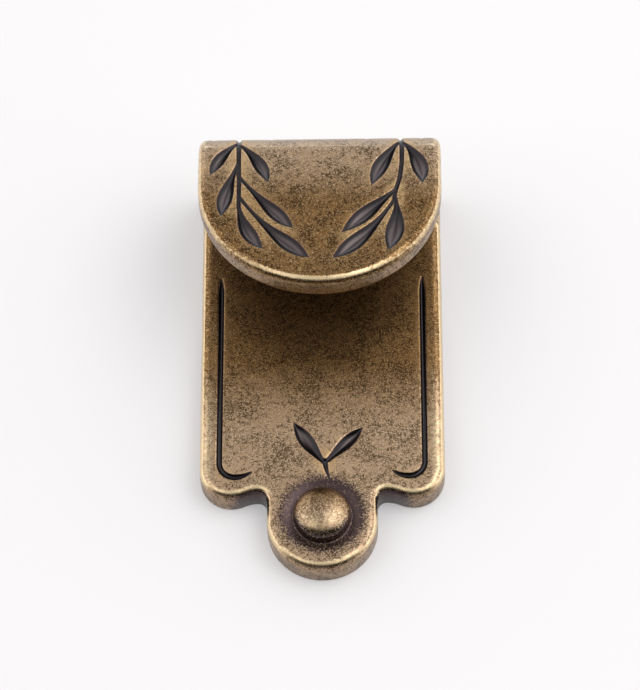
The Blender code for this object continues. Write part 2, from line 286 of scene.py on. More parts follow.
@dataclass(frozen=True)
class HookedGroove:
    """A narrow groove beside the plate's edge that turns in at its foot and flicks up."""

    side: Side
    line_x: float
    top: float
    low: float
    half_width: float = 0.46
    turn_radius: float = 2.45
    turn_stops: int = 24
    flick_run: float = 2.7
    flick_rise: float = 1.0
    flick_start: float = 0.08
    flick_stops: int = 12
    run_out: float = 2.4
    taper: float = 0.55
    pitch: float = 0.1
    section: Section = Section(slope=2.0, deepest=0.52, rim=0.05)
    surface: Face = Face.PLATE

    def marks(self) -> list[Mark]:
        """The groove's line, thinning towards both ends.

        Returns:
            The one mark that the groove is cut with.
        """
        turns = np.linspace(0, -pi / 2, self.turn_stops)
        centre = (self.line_x - self.turn_radius, self.low + self.turn_radius)
        hook = np.column_stack([
            centre[0] + self.turn_radius * np.cos(turns),
            centre[1] + self.turn_radius * np.sin(turns),
        ])
        share = np.linspace(self.flick_start, 1, self.flick_stops)
        flick = hook[-1] + np.column_stack([-self.flick_run * share, self.flick_rise * share**2])
        route = np.vstack([[self.line_x, self.top], hook, flick])
        stem = Stem(tuple(map(tuple, route)), 1.0, 1.0, self.pitch).mark()
        walked = np.arange(len(stem.centres)) * self.pitch
        from_end = np.minimum(walked, walked[-1] - walked)
        halves = self.half_width * np.clip(from_end / self.run_out, 0.0, 1.0) ** self.taper
        return [Mark(stem.centres * (self.side.value, 1.0), halves)]


Carving = list[Sprig | HookedGroove]


@dataclass(frozen=True)
class BentSkin:
    """The outer skin of the wall, bend and flap, unrolled from the flap's face down the wall."""

    wall_y: float
    projection: float
    flap_reach: float
    flare: float
    bend_radius: float

    @property
    def up(self) -> Vector:
        """Up the flap's face, towards the bend."""
        return Vector((0, cos(self.flare), -sin(self.flare)))

    @property
    def out(self) -> Vector:
        """Out of the flap's face."""
        return Vector((0, sin(self.flare), cos(self.flare)))

    @property
    def tip(self) -> Vector:
        """The middle of the flap's free end, on its face."""
        return Vector((0, self.wall_y - self.flap_reach, self.projection))

    @property
    def turn(self) -> float:
        """How far the bend turns from the face to the wall."""
        return pi / 2 - self.flare

    @property
    def centre(self) -> Vector:
        """The middle of the bend, in the plane X = 0."""
        y = self.wall_y - self.bend_radius
        z = self.tip.z - (self.bend_radius + (y - self.tip.y) * self.out.y) / self.out.z
        return Vector((0, y, z))

    def unroll(self, points: np.ndarray) -> tuple[np.ndarray, np.ndarray]:
        """Where points lie on the unrolled skin.

        Args:
            points: Rows of X, Y, Z.

        Returns:
            Rows of X and reach from the bend's end, positive down the flap, and each point's
            height over the skin.
        """
        off = points - np.array(self.centre)
        over, along = off @ np.array(self.out), off @ np.array(self.up)
        angle = np.arctan2(along, over)
        round_bend = (along > 0) & (angle <= self.turn)
        down_wall = (along > 0) & (angle > self.turn)
        reach = -along
        height = over - self.bend_radius
        reach[round_bend] = -self.bend_radius * angle[round_bend]
        height[round_bend] = np.hypot(over, along)[round_bend] - self.bend_radius
        reach[down_wall] = off[down_wall, 2] - self.bend_radius * self.turn
        height[down_wall] = points[down_wall, 1] - self.wall_y
        return np.column_stack([points[:, 0], reach]), height

    def wrap(self, places: np.ndarray, height: np.ndarray) -> np.ndarray:
        """The points at these places and heights over the skin, the reverse of unroll.

        Args:
            places: Rows of X and reach.
            height: Height over the skin at each.

        Returns:
            Rows of X, Y, Z.
        """
        x, reach = places.T
        angle = np.clip(-reach / self.bend_radius, 0, self.turn)
        out, up = np.array(self.out), np.array(self.up)
        away = np.outer(np.cos(angle), out) + np.outer(np.sin(angle), up)
        points = np.array(self.centre) + away * (self.bend_radius + height)[:, None]
        points -= np.outer(np.maximum(reach, 0), up)
        points[:, 2] += np.minimum(reach + self.bend_radius * self.turn, 0)
        points[:, 0] = x
        return points


class Shaping:
    """Small steps that the casting is modelled with, on one bmesh in millimetres."""

    def __init__(self) -> None:
        """Starts from nothing."""
        self.bm = bmesh.new()

    def settle(self) -> None:
        """Puts points on whole steps of a very fine scale, and all parts in order of place.

        The operators leave what they make in an order, and with a last digit, that change from
        run to run, so without this no two runs would be quite alike.
        """
        for vert in self.bm.verts:
            vert.co = [round(c, FINEST_DIGITS) for c in vert.co]
        for parts, middle in (
            (self.bm.verts, lambda v: v.co),
            (self.bm.edges, lambda e: (e.verts[0].co + e.verts[1].co) / 2),
            (self.bm.faces, lambda f: f.calc_center_median()),
        ):
            parts.sort(key=lambda part: middle(part).dot(SORT_WAY))
            parts.index_update()

    def edges_where(self, test: Callable[[Vector], bool], across: int) -> list[BMEdge]:
        """The edges whose ends pass a test on their place and that run at right angles to an axis.

        Args:
            test: Takes a place and says whether it is wanted.
            across: The axis that the edges cross, 0 for X to 2 for Z.

        Returns:
            The edges found.
        """
        level = [
            e for e in self.bm.edges if abs(e.verts[0].co[across] - e.verts[1].co[across]) < SAME
        ]
        return [e for e in level if all(test(v.co) for v in e.verts)]

    def round(self, edges: list[BMEdge], offset: float, segments: int) -> None:
        """Rounds edges with a circular profile.

        Args:
            edges: The edges to round.
            offset: How far the rounding reaches over each face.
            segments: Strips round the profile.
        """
        bmesh.ops.bevel(
            self.bm, geom=edges, offset=offset, offset_type="OFFSET", segments=segments,
            profile=0.5, affect="EDGES", clamp_overlap=False, material=-1,
        )
        self.settle()

    def draw_out(self, face: BMFace, move: Vector) -> BMFace:
        """Extrudes one face.

        Args:
            face: The face, which stays only where nothing else closes the body there.
            move: How far and which way its copy goes.

        Returns:
            The moved face.
        """
        made = bmesh.ops.extrude_face_region(self.bm, geom=[face])["geom"]
        verts = [v for v in made if isinstance(v, bmesh.types.BMVert)]
        bmesh.ops.translate(self.bm, verts=verts, vec=move)
        if any(len(e.link_faces) > 2 for e in face.edges):
            bmesh.ops.delete(self.bm, geom=[face], context="FACES_ONLY")
        self.settle()
        return next(f for f in made if isinstance(f, BMFace))

    def cut_face(self, face: BMFace, place: Vector, normal: Vector) -> None:
        """Splits one face, with its edges, by a plane.

        Args:
            face: The face.
            place: A place on the plane.
            normal: The way that the plane faces.
        """
        geom = [face, *face.edges, *face.verts]
        bmesh.ops.bisect_plane(self.bm, geom=geom, dist=1e-6, plane_co=place, plane_no=normal)
        self.settle()

    def rule(self, axis: int, places: np.ndarray) -> None:
        """Cuts the whole body by planes across one axis.

        Args:
            axis: 0 for X to 2 for Z.
            places: Where each plane stands on that axis.
        """
        normal = Vector([float(i == axis) for i in range(3)])
        for place in places:
            geom = [*self.bm.verts, *self.bm.edges, *self.bm.faces]
            bmesh.ops.bisect_plane(
                self.bm, geom=geom, dist=1e-4, plane_co=normal * float(place), plane_no=normal,
            )
        self.settle()

    def face_round(self, centre: Vector) -> BMFace:
        """The smallest flat face whose box holds a place.

        Args:
            centre: The place, at the height of the face.

        Returns:
            The face found.
        """
        found = []
        for face in self.bm.faces:
            corners = [v.co - centre for v in face.verts]
            if all(abs(c.z) < SAME for c in corners) and all(
                min(c[i] for c in corners) < 0 < max(c[i] for c in corners) for i in (0, 1)
            ):
                found.append(face)
        return min(found, key=lambda f: f.calc_area())

    def open_face(self, centre: Vector, radius: float, steps: int, margin: float) -> None:
        """Cuts a round opening into a flat face.

        Args:
            centre: The middle of the opening.
            radius: Its radius.
            steps: Sides round it.
            margin: How far the face is first squared off round it.
        """
        for axis in (Vector((1, 0, 0)), Vector((0, 1, 0))):
            for side in Side:
                place = centre + axis * side.value * (radius + margin)
                self.cut_face(self.face_round(centre), place, axis)
        face = self.face_round(centre)
        edges = list(face.edges)
        normal = face.normal.copy()
        bmesh.ops.delete(self.bm, geom=[face], context="FACES_ONLY")
        circle = bmesh.ops.create_circle(
            self.bm, cap_ends=False, radius=radius, segments=steps,
            matrix=Matrix.Translation(centre),
        )
        edges += dict.fromkeys(e for v in circle["verts"] for e in v.link_edges)
        bmesh.ops.triangle_fill(self.bm, use_beauty=True, edges=edges, normal=normal)
        self.settle()

    def turn_in(self, profile: list[Place], centre: Vector, steps: int) -> None:
        """Spins a profile of (radius, height) round a vertical axis, closed at its last point.

        Args:
            profile: Points from the rim to the axis.
            centre: The foot of the axis.
            steps: Sides round the turn, as in the opening that it fills.
        """
        # The circle's first point lies on +Y, and so does the profile.
        verts = [self.bm.verts.new(centre + Vector((0, r, z))) for r, z in profile]
        edges = [self.bm.edges.new(pair) for pair in zip(verts, verts[1:])]
        bmesh.ops.spin(
            self.bm, geom=verts + edges, cent=centre, axis=(0, 0, 1), dvec=(0, 0, 0),
            angle=2 * pi, steps=steps, use_merge=True, use_duplicate=False,
        )
        self.settle()

    def merge(self, distance: float) -> None:
        """Joins points that lie close together and turns every face outwards.

        Args:
            distance: How close they lie.
        """
        bmesh.ops.remove_doubles(self.bm, verts=self.bm.verts, dist=distance)
        self.settle()
        bmesh.ops.recalc_face_normals(self.bm, faces=self.bm.faces)

    def places(self) -> np.ndarray:
        """Every point, as rows of X, Y, Z."""
        return np.array([v.co for v in self.bm.verts]).reshape(-1, 3)

    def put(self, places: np.ndarray) -> None:
        """Moves every point to its row."""
        for vert, place in zip(self.bm.verts, places):
            vert.co = place


@dataclass(frozen=True)
class Button:
    """The round button on the tongue, in its dished ring."""

    radius: float = 4.5
    rise: float = 2.9
    fullness: float = 2.5
    ring_width: float = 1.9
    ring_depth: float = 0.3
    steps: int = 72
    dish_stops: int = 10
    dome_stops: int = 16
    margin: float = 0.9

    @property
    def outer(self) -> float:
        """The radius of the ring's rim."""
        return self.radius + self.ring_width

    def profile(self) -> list[Place]:
        """The dish and the button in section.

        Returns:
            Points from the rim to the axis, as (radius, height).
        """
        dish = []
        for share in np.linspace(0, 1, self.dish_stops)[1:-1]:
            sunk = self.ring_depth * (1 - cos(pi * share)) / 2
            dish.append((self.outer - self.ring_width * share, -sunk))
        root = -self.ring_depth
        dome = []
        for turn in np.linspace(0, pi / 2, self.dome_stops):
            reach = cos(turn) ** (2 / self.fullness)
            height = sin(turn) ** (2 / self.fullness)
            dome.append((self.radius * reach, root + (self.rise - root) * height))
        dome[-1] = (0.0, self.rise)
        return [(self.outer, 0.0)] + dish + dome

    def cut_into(self, shape: Shaping, centre: Vector) -> None:
        """Opens the plate's front for the dish and turns the dish and button into it."""
        shape.open_face(centre, self.outer, self.steps, self.margin)
        shape.turn_in(self.profile(), centre, self.steps)


@dataclass(frozen=True)
class ScrewHole:
    """A blind screw hole in the back, with a small lead-in and a cone at its end."""

    depth: float
    radius: float = 1.65
    mouth: float = 2.1
    steps: int = 32
    margin: float = 1.0

    def cut_into(self, shape: Shaping, centre: Vector) -> None:
        """Opens the back and turns the hole into it.

        Args:
            shape: The casting.
            centre: The middle of the hole's mouth.
        """
        lead = self.mouth - self.radius
        profile = [
            (self.mouth, 0.0), (self.radius, lead), (self.radius, self.depth),
            (0.0, self.depth + self.radius / 2),
        ]
        shape.open_face(centre, self.mouth, self.steps, self.margin)
        shape.turn_in(profile, centre, self.steps)


@dataclass(frozen=True)
class CutRecord:
    """What the carving left at each point, its distance inside a cut and crowding, and the highlight
    painted near the tips of leaves.
    """

    inside: np.ndarray
    hemmed: np.ndarray
    bright: np.ndarray


@dataclass
class PullCasting:
    """The one casting: plate, tongue, button, wall, bend, flap and all that is cut into them."""

    width: float = 38.0
    plate_thickness: float = 5.0
    shoulder_drop: float = 3.25
    shoulder_corner: float = 5.0
    shoulder_steps: int = 14
    ogee_rise: float = 0.9
    ogee_from: float = 13.1
    ogee_to: float = 11.0
    ogee_round: float = 1.0
    ogee_steps: int = 5
    tongue_half_width: float = 8.55
    tongue_drop: float = 8.8
    tongue_steps: int = 22
    tongue_fillet: float = 1.45
    fillet_steps: int = 10
    wall_thickness: float = 7.0
    flap_thickness: float = 4.5
    flap_flare: float = radians(7.0)
    flap_reach: float = 28.8
    flap_steps: int = 44
    tip_lean: float = 1.0
    projection: float = 24.27
    bend_radius: float = 4.4
    bend_steps: int = 30
    inner_fillet: float = 2.5
    inner_steps: int = 12
    edge_radius: float = 1.4
    edge_steps: int = 8
    sharp_from: float = radians(45)
    back_edge_radius: float = 0.3
    back_edge_steps: int = 2
    button: Button = Button()
    screw_holes: tuple[ScrewHole, ScrewHole] = (ScrewHole(5.6), ScrewHole(9.0))
    groove_inset: float = 3.1
    groove_margin: float = 3.35
    groove_top_gap: float = 10.8
    sprig_inset: float = 6.4
    sprig_drop: float = 0.55
    merge_plan: float = 4e-3
    merge_edges: float = 2e-3
    merge_rounds: float = 1e-3
    merge_grid: float = 5e-3
    grid: float = 1.0
    near_cuts: tuple[float, ...] = (1.3, 0.6, 0.28)
    finest_edge: float = 0.12
    skin_band: float = 0.09
    carved_to_edge: float = 0.9
    cut_reach: float = 1.0
    shine_reach: float = 0.2
    strip: Slope = Slope(-1.7, 1.2)
    strip_spare: float = 0.8
    unevenness: float = 0.045
    broad_swell: Place = (0.16, 0.6)
    small_swell: Place = (0.45, 0.4)
    flat_back: float = 0.4
    skin: BentSkin = field(init=False)
    low: Vector = field(init=False)
    high: Vector = field(init=False)

    def __post_init__(self) -> None:
        """Takes the ends of the casting from the frame's box."""
        low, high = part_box(CAD_NODE)
        self.low, self.high = low / MM, high / MM
        self.skin = BentSkin(
            self.high.y, self.projection, self.flap_reach, self.flap_flare, self.bend_radius,
        )

    @property
    def button_y(self) -> float:
        """The height of the button's centre on the plate."""
        return self.low.y + self.tongue_drop

    @property
    def shoulder_y(self) -> float:
        """The line of the plate's lower end beside the tongue."""
        return self.button_y + self.shoulder_drop

    @property
    def root_y(self) -> float:
        """The line where the tongue leaves the plate, above the ogee."""
        return self.shoulder_y + self.ogee_rise

    @property
    def wall_in(self) -> float:
        """The inner face of the wall."""
        return self.high.y - self.wall_thickness

    @property
    def over_plate(self) -> float:
        """A height that only the upper wall and the flap reach."""
        return 2 * self.plate_thickness

    def blank(self) -> Shaping:
        """The plate, wall and flap as one prism across the width.

        Returns:
            The prism, with sharp corners.
        """
        skin, wall_in = self.skin, self.wall_in
        under_tip = skin.tip - skin.out * self.flap_thickness
        slope = skin.up.z / skin.up.y
        crook_z = under_tip.z + (wall_in - under_tip.y) * slope
        bend_z = skin.tip.z + (self.high.y - skin.tip.y) * slope
        corners = [
            (self.shoulder_y, 0), (self.high.y, 0), (self.high.y, bend_z),
            (skin.tip.y, skin.tip.z), (under_tip.y, under_tip.z), (wall_in, crook_z),
            (wall_in, self.plate_thickness), (self.shoulder_y, self.plate_thickness),
        ]
        shape = Shaping()
        verts = [shape.bm.verts.new((-self.width / 2, y, z)) for y, z in corners]
        shape.draw_out(shape.bm.faces.new(verts), Vector((self.width, 0, 0)))
        return shape

    def pull_tongue(self, shape: Shaping) -> None:
        """Draws the tongue out of the plate's lower end and gives the shoulders their curves.

        Args:
            shape: The sharp blank.
        """
        across = Vector((1, 0, 0))
        for x in (self.ogee_from, self.ogee_to, self.tongue_half_width):
            for side in Side:
                at = side.value * x
                end = next(
                    f for f in shape.bm.faces
                    if abs(f.calc_center_median().y - self.shoulder_y) < SAME
                    and min(v.co.x for v in f.verts) < at < max(v.co.x for v in f.verts)
                )
                shape.cut_face(end, Vector((at, 0, 0)), across)
        for vert in shape.bm.verts:
            if abs(vert.co.y - self.shoulder_y) < SAME and abs(vert.co.x) < self.ogee_to + SAME:
                vert.co.y += self.ogee_rise
        root = min(
            (f for f in shape.bm.faces if abs(f.calc_center_median().y - self.root_y) < SAME),
            key=lambda f: abs(f.calc_center_median().x),
        )
        shape.draw_out(root, Vector((0, self.low.y - self.root_y, 0)))
        half = self.tongue_half_width + SAME
        seam = shape.edges_where(lambda p: abs(p.y - self.root_y) < SAME and abs(p.x) < half, 2)
        bmesh.ops.dissolve_edges(shape.bm, edges=seam, use_verts=False, use_face_split=False)
        shape.settle()

    def upright(self, shape: Shaping, x: float, y: float) -> list[BMEdge]:
        """The plate's two upright edges at this distance from the middle."""
        return shape.edges_where(lambda p: abs(abs(p.x) - x) < SAME and abs(p.y - y) < SAME, 0)

    def round_plan(self, shape: Shaping) -> None:
        """Rounds the corners that show from the front.

        Args:
            shape: The blank with its tongue.
        """
        corners = (
            (self.tongue_half_width, self.low.y, self.tongue_half_width - SAME, self.tongue_steps),
            (self.tongue_half_width, self.root_y, self.tongue_fillet, self.fillet_steps),
            (self.ogee_to, self.root_y, self.ogee_round, self.ogee_steps),
            (self.ogee_from, self.shoulder_y, self.ogee_round, self.ogee_steps),
            (self.width / 2, self.shoulder_y, self.shoulder_corner, self.shoulder_steps),
        )
        for x, y, radius, steps in corners:
            shape.round(self.upright(shape, x, y), radius, steps)
        tip_y = self.skin.tip.y
        # The flap's free end leans with its flare, so its lower corners lie a little off the tip.
        ends = shape.edges_where(
            lambda p: abs(abs(p.x) - self.width / 2) < SAME and abs(p.y - tip_y) < self.tip_lean
            and p.z > self.projection - 2 * self.flap_thickness,
            0,
        )
        shape.round(ends, self.width / 2 - SAME, self.flap_steps)

    def round_side(self, shape: Shaping) -> None:
        """Gives the bend, the crook under the flap and the wall's foot their radii.

        Args:
            shape: The blank, rounded in plan.
        """
        half_turn = tan(self.skin.turn / 2)
        wall_in, over = self.wall_in, self.over_plate
        bend = shape.edges_where(lambda p: abs(p.y - self.high.y) < SAME and p.z > over, 2)
        shape.round(bend, self.bend_radius * half_turn, self.bend_steps)
        crook = shape.edges_where(lambda p: abs(p.y - wall_in) < SAME and p.z > over, 2)
        shape.round(crook, self.inner_fillet * half_turn, self.inner_steps)
        foot = shape.edges_where(
            lambda p: abs(p.y - wall_in) < SAME and abs(p.z - self.plate_thickness) < SAME, 2,
        )
        shape.round(foot, self.inner_fillet, self.inner_steps)

    def sharp_edges(self, shape: Shaping) -> tuple[list[BMEdge], list[BMEdge]]:
        """The outline's sharp outer edges.

        Args:
            shape: The casting, rounded in plan and from the side.

        Returns:
            Those in front and those round the back.
        """
        sharp = [e for e in shape.bm.edges if e.calc_face_angle_signed(0) > self.sharp_from]
        back = [e for e in sharp if max(v.co.z for v in e.verts) < SAME]
        behind = set(back)
        return [e for e in sharp if e not in behind], back

    def round_edges(self, shape: Shaping) -> None:
        """Rounds the outline's sharp edges, fully in front and slightly at the back.

        Args:
            shape: The casting, rounded in plan and from the side.
        """
        shape.merge(self.merge_plan)
        shape.round(self.sharp_edges(shape)[0], self.edge_radius, self.edge_steps)
        shape.round(self.sharp_edges(shape)[1], self.back_edge_radius, self.back_edge_steps)
        shape.merge(self.merge_edges)

    def add_rounds(self, shape: Shaping) -> None:
        """Turns the button into the plate's front and the screw holes into its back.

        Args:
            shape: The casting with its edges rounded.
        """
        self.button.cut_into(shape, Vector((0, self.button_y, self.plate_thickness)))
        heights = (self.button_y, self.high.y - self.wall_thickness / 2)
        for y, hole in zip(heights, self.screw_holes):
            hole.cut_into(shape, Vector((0, y, 0)))
        shape.merge(self.merge_rounds)

    def rule_grid(self, shape: Shaping) -> None:
        """Rules the casting into small faces, by planes on whole steps of the grid.

        Args:
            shape: The casting with its button and holes.
        """
        spans = (
            (-self.width / 2, self.width / 2),
            (self.low.y, self.high.y),
            (self.plate_thickness, self.projection - self.edge_radius),
        )
        for axis, (start, stop) in enumerate(spans):
            first = round(start) + self.grid
            shape.rule(axis, np.arange(first, stop - self.grid / 2, self.grid))
        shape.merge(self.merge_grid)

    def carving(self) -> Carving:
        """Every sprig and groove that is cut into the casting.

        Returns:
            The two sprigs of the flap, the pair of leaves on the plate and the two grooves.
        """
        stem_x = self.width / 2 - self.sprig_inset
        line_x = self.width / 2 - self.groove_inset
        low = self.shoulder_y + self.groove_margin
        top = self.wall_in - self.groove_top_gap
        return [
            Sprig(Face.SKIN, LEFT_SPRIG, (-stem_x, self.sprig_drop), Side.LEFT.value),
            Sprig(Face.SKIN, RIGHT_SPRIG, (stem_x, self.sprig_drop), Side.RIGHT.value),
            Sprig(Face.PLATE, PLATE_SPRIG, (0.0, self.button_y)),
            *(HookedGroove(side, line_x, top, low) for side in Side),
        ]

    def surfaces(self, points: np.ndarray) -> dict[Face, tuple[np.ndarray, np.ndarray]]:
        """Where points lie on each carved surface.

        Args:
            points: Rows of X, Y, Z.

        Returns:
            For each surface, the unrolled places and which points lie on it.
        """
        rolled, height = self.skin.unroll(points)
        edge = self.width / 2 - self.carved_to_edge * self.edge_radius
        on_skin = (abs(height) < self.skin_band) & (abs(points[:, 0]) < edge)
        flat = abs(points[:, 2] - self.plate_thickness) < SAME
        return {Face.SKIN: (rolled, on_skin), Face.PLATE: (points[:, :2], flat)}

    def nearness(self, points: np.ndarray, carving: Carving) -> np.ndarray:
        """How near points lie to the cuts.

        Args:
            points: Rows of X, Y, Z.
            carving: The sprigs and grooves.

        Returns:
            How far each point lies inside the nearest cut, negative outside all of them.
        """
        found = np.full(len(points), FAR_OUTSIDE)
        surfaces = self.surfaces(points)
        for item in carving:
            places, on = surfaces[item.surface]
            for mark in item.marks():
                near = np.full(len(points), FAR_OUTSIDE)
                near[on] = mark.inside(places[on])
                np.maximum(found, near, out=found)
        return found

    def carries(self, face: BMFace) -> bool:
        """Whether a face lies on a carved surface."""
        points = np.array([v.co for v in face.verts])
        return any(on.all() for _, on in self.surfaces(points).values())

    def refine(self, shape: Shaping, carving: Carving) -> None:
        """Divides the faces near the cuts, more finely the nearer they lie.

        Args:
            shape: The casting, ruled into its grid.
            carving: The sprigs and grooves.
        """
        for margin in self.near_cuts:
            near = self.nearness(shape.places(), carving) > -margin
            for vert, close in zip(shape.bm.verts, near):
                vert.tag = bool(close)
            faces = [f for f in shape.bm.faces if any(v.tag for v in f.verts)]
            met = dict.fromkeys(e for f in faces if self.carries(f) for e in f.edges)
            edges = [e for e in met if e.calc_length() > self.finest_edge]
            bmesh.ops.subdivide_edges(shape.bm, edges=edges, cuts=1, use_grid_fill=True)
            many_sided = [f for f in shape.bm.faces if len(f.verts) > 4]
            bmesh.ops.triangulate(shape.bm, faces=many_sided)
            shape.settle()

    def carve(self, shape: Shaping, carving: Carving) -> CutRecord:
        """Sinks the cuts into the surfaces that carry them.

        Args:
            shape: The casting, already divided finely near the cuts.
            carving: The sprigs and grooves.

        Returns:
            How far each point lies inside a cut's outline, negative outside, how far it is
            hemmed in by more than one cut and how strongly a highlight is painted on it, each from 0
            to 1.
        """
        points = shape.places()
        surfaces = self.surfaces(points)
        depth = np.zeros(len(points))
        inside = np.full(len(points), FAR_OUTSIDE)
        crowd = np.zeros(len(points))
        bright = np.zeros(len(points))
        for item in carving:
            places, on = surfaces[item.surface]
            for mark in item.marks():
                near = mark.inside(places[on])
                inside[on] = np.maximum(inside[on], near)
                crowd[on] += self.strip.up(near)
                sunk = item.section.depth(near) * (near > -self.cut_reach)
                depth[on] = np.maximum(depth[on], sunk)
                # A highlight is painted in the scooped leaves, towards their tips.
                within = np.flatnonzero(on)[near > -self.shine_reach]
                bright[within] = np.maximum(bright[within], mark.shine(places[within]))
        rolled, on_skin = surfaces[Face.SKIN]
        points[on_skin] = self.skin.wrap(rolled[on_skin], -depth[on_skin])
        on_plate = surfaces[Face.PLATE][1]
        points[on_plate, 2] -= depth[on_plate]
        shape.put(points)
        return CutRecord(inside, np.clip(crowd - self.strip_spare, 0, 1), bright)

    def weather(self, shape: Shaping) -> None:
        """Sinks the surface a little unevenly, as a tumbled casting is, but not at the flat back.

        Args:
            shape: The carved casting.
        """
        shape.bm.normal_update()
        for vert in shape.bm.verts:
            if vert.co.z < self.flat_back:
                continue
            swell = sum(noise.noise(vert.co * s) * w for s, w in (self.broad_swell, self.small_swell))
            vert.co -= vert.normal * self.unevenness * (0.5 + 0.5 * swell)

    def model(self) -> tuple[Shaping, CutRecord]:
        """Models the casting in millimetres.

        Returns:
            The finished shape, and what the carving left on it.
        """
        shape = self.blank()
        self.pull_tongue(shape)
        self.round_plan(shape)
        self.round_side(shape)
        self.round_edges(shape)
        self.add_rounds(shape)
        self.rule_grid(shape)
        carving = self.carving()
        self.refine(shape, carving)
        cuts = self.carve(shape, carving)
        self.weather(shape)
        bmesh.ops.recalc_face_normals(shape.bm, faces=shape.bm.faces)
        return shape, cuts

    def build(self) -> bpy.types.Object:
        """Models the casting and stores on it what the finish follows.

        Returns:
            The casting's object, in metres.
        """
        shape, cuts = self.model()
        open_edges = sum(not e.is_manifold for e in shape.bm.edges)
        LOG.info("casting: %d faces, %d edges not closed", len(shape.bm.faces), open_edges)
        masks = WearAndShade().masks(Survey(self, shape, cuts))
        bmesh.ops.scale(shape.bm, vec=(MM, MM, MM), verts=shape.bm.verts)
        mesh = bpy.data.meshes.new("antiqued_pull")
        shape.bm.to_mesh(mesh)
        shape.bm.free()
        mesh.shade_smooth()
        for mask, values in masks.items():
            layer = mesh.attributes.new(mask.value, "FLOAT", "POINT")
            layer.data.foreach_set("value", values.astype(np.float32))
        obj = bpy.data.objects.new("antiqued_pull", mesh)
        bpy.context.scene.collection.objects.link(obj)
        return obj


# Each sprig is drawn on the unrolled skin in millimetres. The first number is the distance
# outward from the stem's own line. The second is the distance from a line just below the bend,
# positive down the flap and negative over the bend and down the wall.
LEFT_SPRIG = (
    Stem(
        ((0.1, -15.5), (0.0, -9.5), (0.05, -4.0), (0.0, 1.5), (-0.1, 6.0), (-0.1, 10.5)),
        0.45, 0.36,
    ),
    Leaf((0.3, -2.2), (4.5, 4.3), 0.85, -0.5, 0.60),
    Leaf((-0.4, -1.6), (-4.7, 5.8), 0.95, 0.6, 0.60),
    Leaf((0.1, 2.0), (2.7, 12.2), 1.1, -0.3, 0.66),
    Leaf((-0.3, 4.8), (-8.7, 14.6), 1.1, -0.25, 0.70),
    Leaf((-0.3, 8.6), (-11.2, 20.2), 1.2, -0.75, 0.74),
    Leaf((-0.1, 9.8), (-4.1, 18.5), 1.05, -0.9, 0.62),
    Leaf((0.3, -10.2), (4.1, -3.8), 0.85, -0.5, 0.60),
    Leaf((-0.3, -9.8), (-5.2, -3.8), 0.95, 0.6, 0.60),
)
RIGHT_SPRIG = (
    Stem(
        (
            (0.0, -15.3), (-0.2, -9.5), (0.1, -4.0), (0.3, -1.0), (0.25, 2.0), (-0.1, 5.0),
            (-0.9, 8.0), (-1.0, 9.5),
        ),
        0.45, 0.36,
    ),
    Leaf((-0.3, -2.0), (-4.6, 6.6), 1.1, 0.4, 0.58),
    Leaf((0.4, -2.2), (3.4, 6.2), 1.2, -0.9, 0.62),
    Leaf((-0.7, 7.2), (-9.4, 15.6), 1.15, 0.0, 0.60),
    Leaf((-1.0, 9.2), (-10.8, 20.3), 1.25, -0.85, 0.70),
    Leaf((-0.8, 9.0), (-2.2, 19.0), 1.3, -0.7, 0.62),
    Leaf((-0.3, -9.9), (-5.5, -3.8), 0.95, 0.5, 0.60),
    Leaf((0.3, -10.4), (3.4, -3.8), 0.85, -0.5, 0.60),
)
# The pair of leaves on the plate, to the right of the button's centre and above it.
PLATE_SPRIG = (
    Stem(((0.4, 9.2), (0.7, 7.6), (1.25, 5.9)), 0.5, 0.12),
    Leaf((0.5, 8.7), (-4.6, 16.1), 1.0, 0.12, 0.58),
    Leaf((0.4, 8.9), (6.5, 15.1), 0.85, 0.0, 0.60),
)


def curvature(
    points: np.ndarray, normals: np.ndarray, ends: np.ndarray,
) -> tuple[np.ndarray, np.ndarray]:
    """How sharply a mesh turns at each point, evened a little over its neighbours.

    Args:
        points: Rows of X, Y, Z.
        normals: The normal at each point.
        ends: The two points of each edge.

    Returns:
        The turn outwards and the turn inwards, in radians a millimetre.
    """
    first, second = ends.T
    step = points[second] - points[first]
    length = np.maximum(np.linalg.norm(step, axis=1), SAME)
    bend = np.einsum("ij,ij->i", normals[second] - normals[first], step) / length**2
    convex, concave = np.zeros(len(points)), np.zeros(len(points))
    for met in (first, second):
        np.maximum.at(convex, met, bend)
        np.maximum.at(concave, met, -bend)
    count = np.bincount(ends.ravel(), minlength=len(points))
    for curve in (convex, concave):
        spread = np.zeros(len(points))
        for one, other in ((first, second), (second, first)):
            np.add.at(spread, one, curve[other])
        curve += spread / count
        curve /= 2
    return convex, concave


class Survey:
    """The finished casting measured at each point, in millimetres."""

    button_margin: float = 0.1
    button_foot: float = 0.2
    skin_depth: float = 1.5

    def __init__(self, casting: PullCasting, shape: Shaping, cuts: CutRecord) -> None:
        """Measures the casting.

        Args:
            casting: Its sizes.
            shape: Its mesh.
            cuts: What the carving left at each point.
        """
        self.casting, self.cuts = casting, cuts
        shape.bm.normal_update()
        shape.bm.verts.index_update()
        points = shape.places()
        normals = np.array([v.normal for v in shape.bm.verts])
        ends = np.array([[v.index for v in e.verts] for e in shape.bm.edges])
        self.convex, self.concave = curvature(points, normals, ends)
        self.x, self.y, self.z = points.T
        # Lean is 1 where the surface faces the front, or the flap's own front.
        self.lean = np.maximum(normals[:, 2], normals @ np.array(casting.skin.out))
        # Sideways is 1 where the surface turns to the left or right and 0 where it turns up or down.
        level = np.maximum(np.hypot(normals[:, 0], normals[:, 1]), SAME)
        self.sideways = (abs(normals[:, 0]) / level) ** 2
        button = casting.button
        self.over_button = self.y - casting.button_y
        over_plate = self.z - casting.plate_thickness
        self.radial = np.hypot(self.x, self.over_button)
        self.at_front = abs(over_plate) < 2 * button.ring_depth
        within = self.radial < button.radius + self.button_margin
        self.on_button = within & (over_plate > self.button_foot)
        self.on_flap = self.z > casting.over_plate
        rolled, height = casting.skin.unroll(points)
        self.reach = rolled[:, 1]
        self.on_skin = abs(height) < self.skin_depth


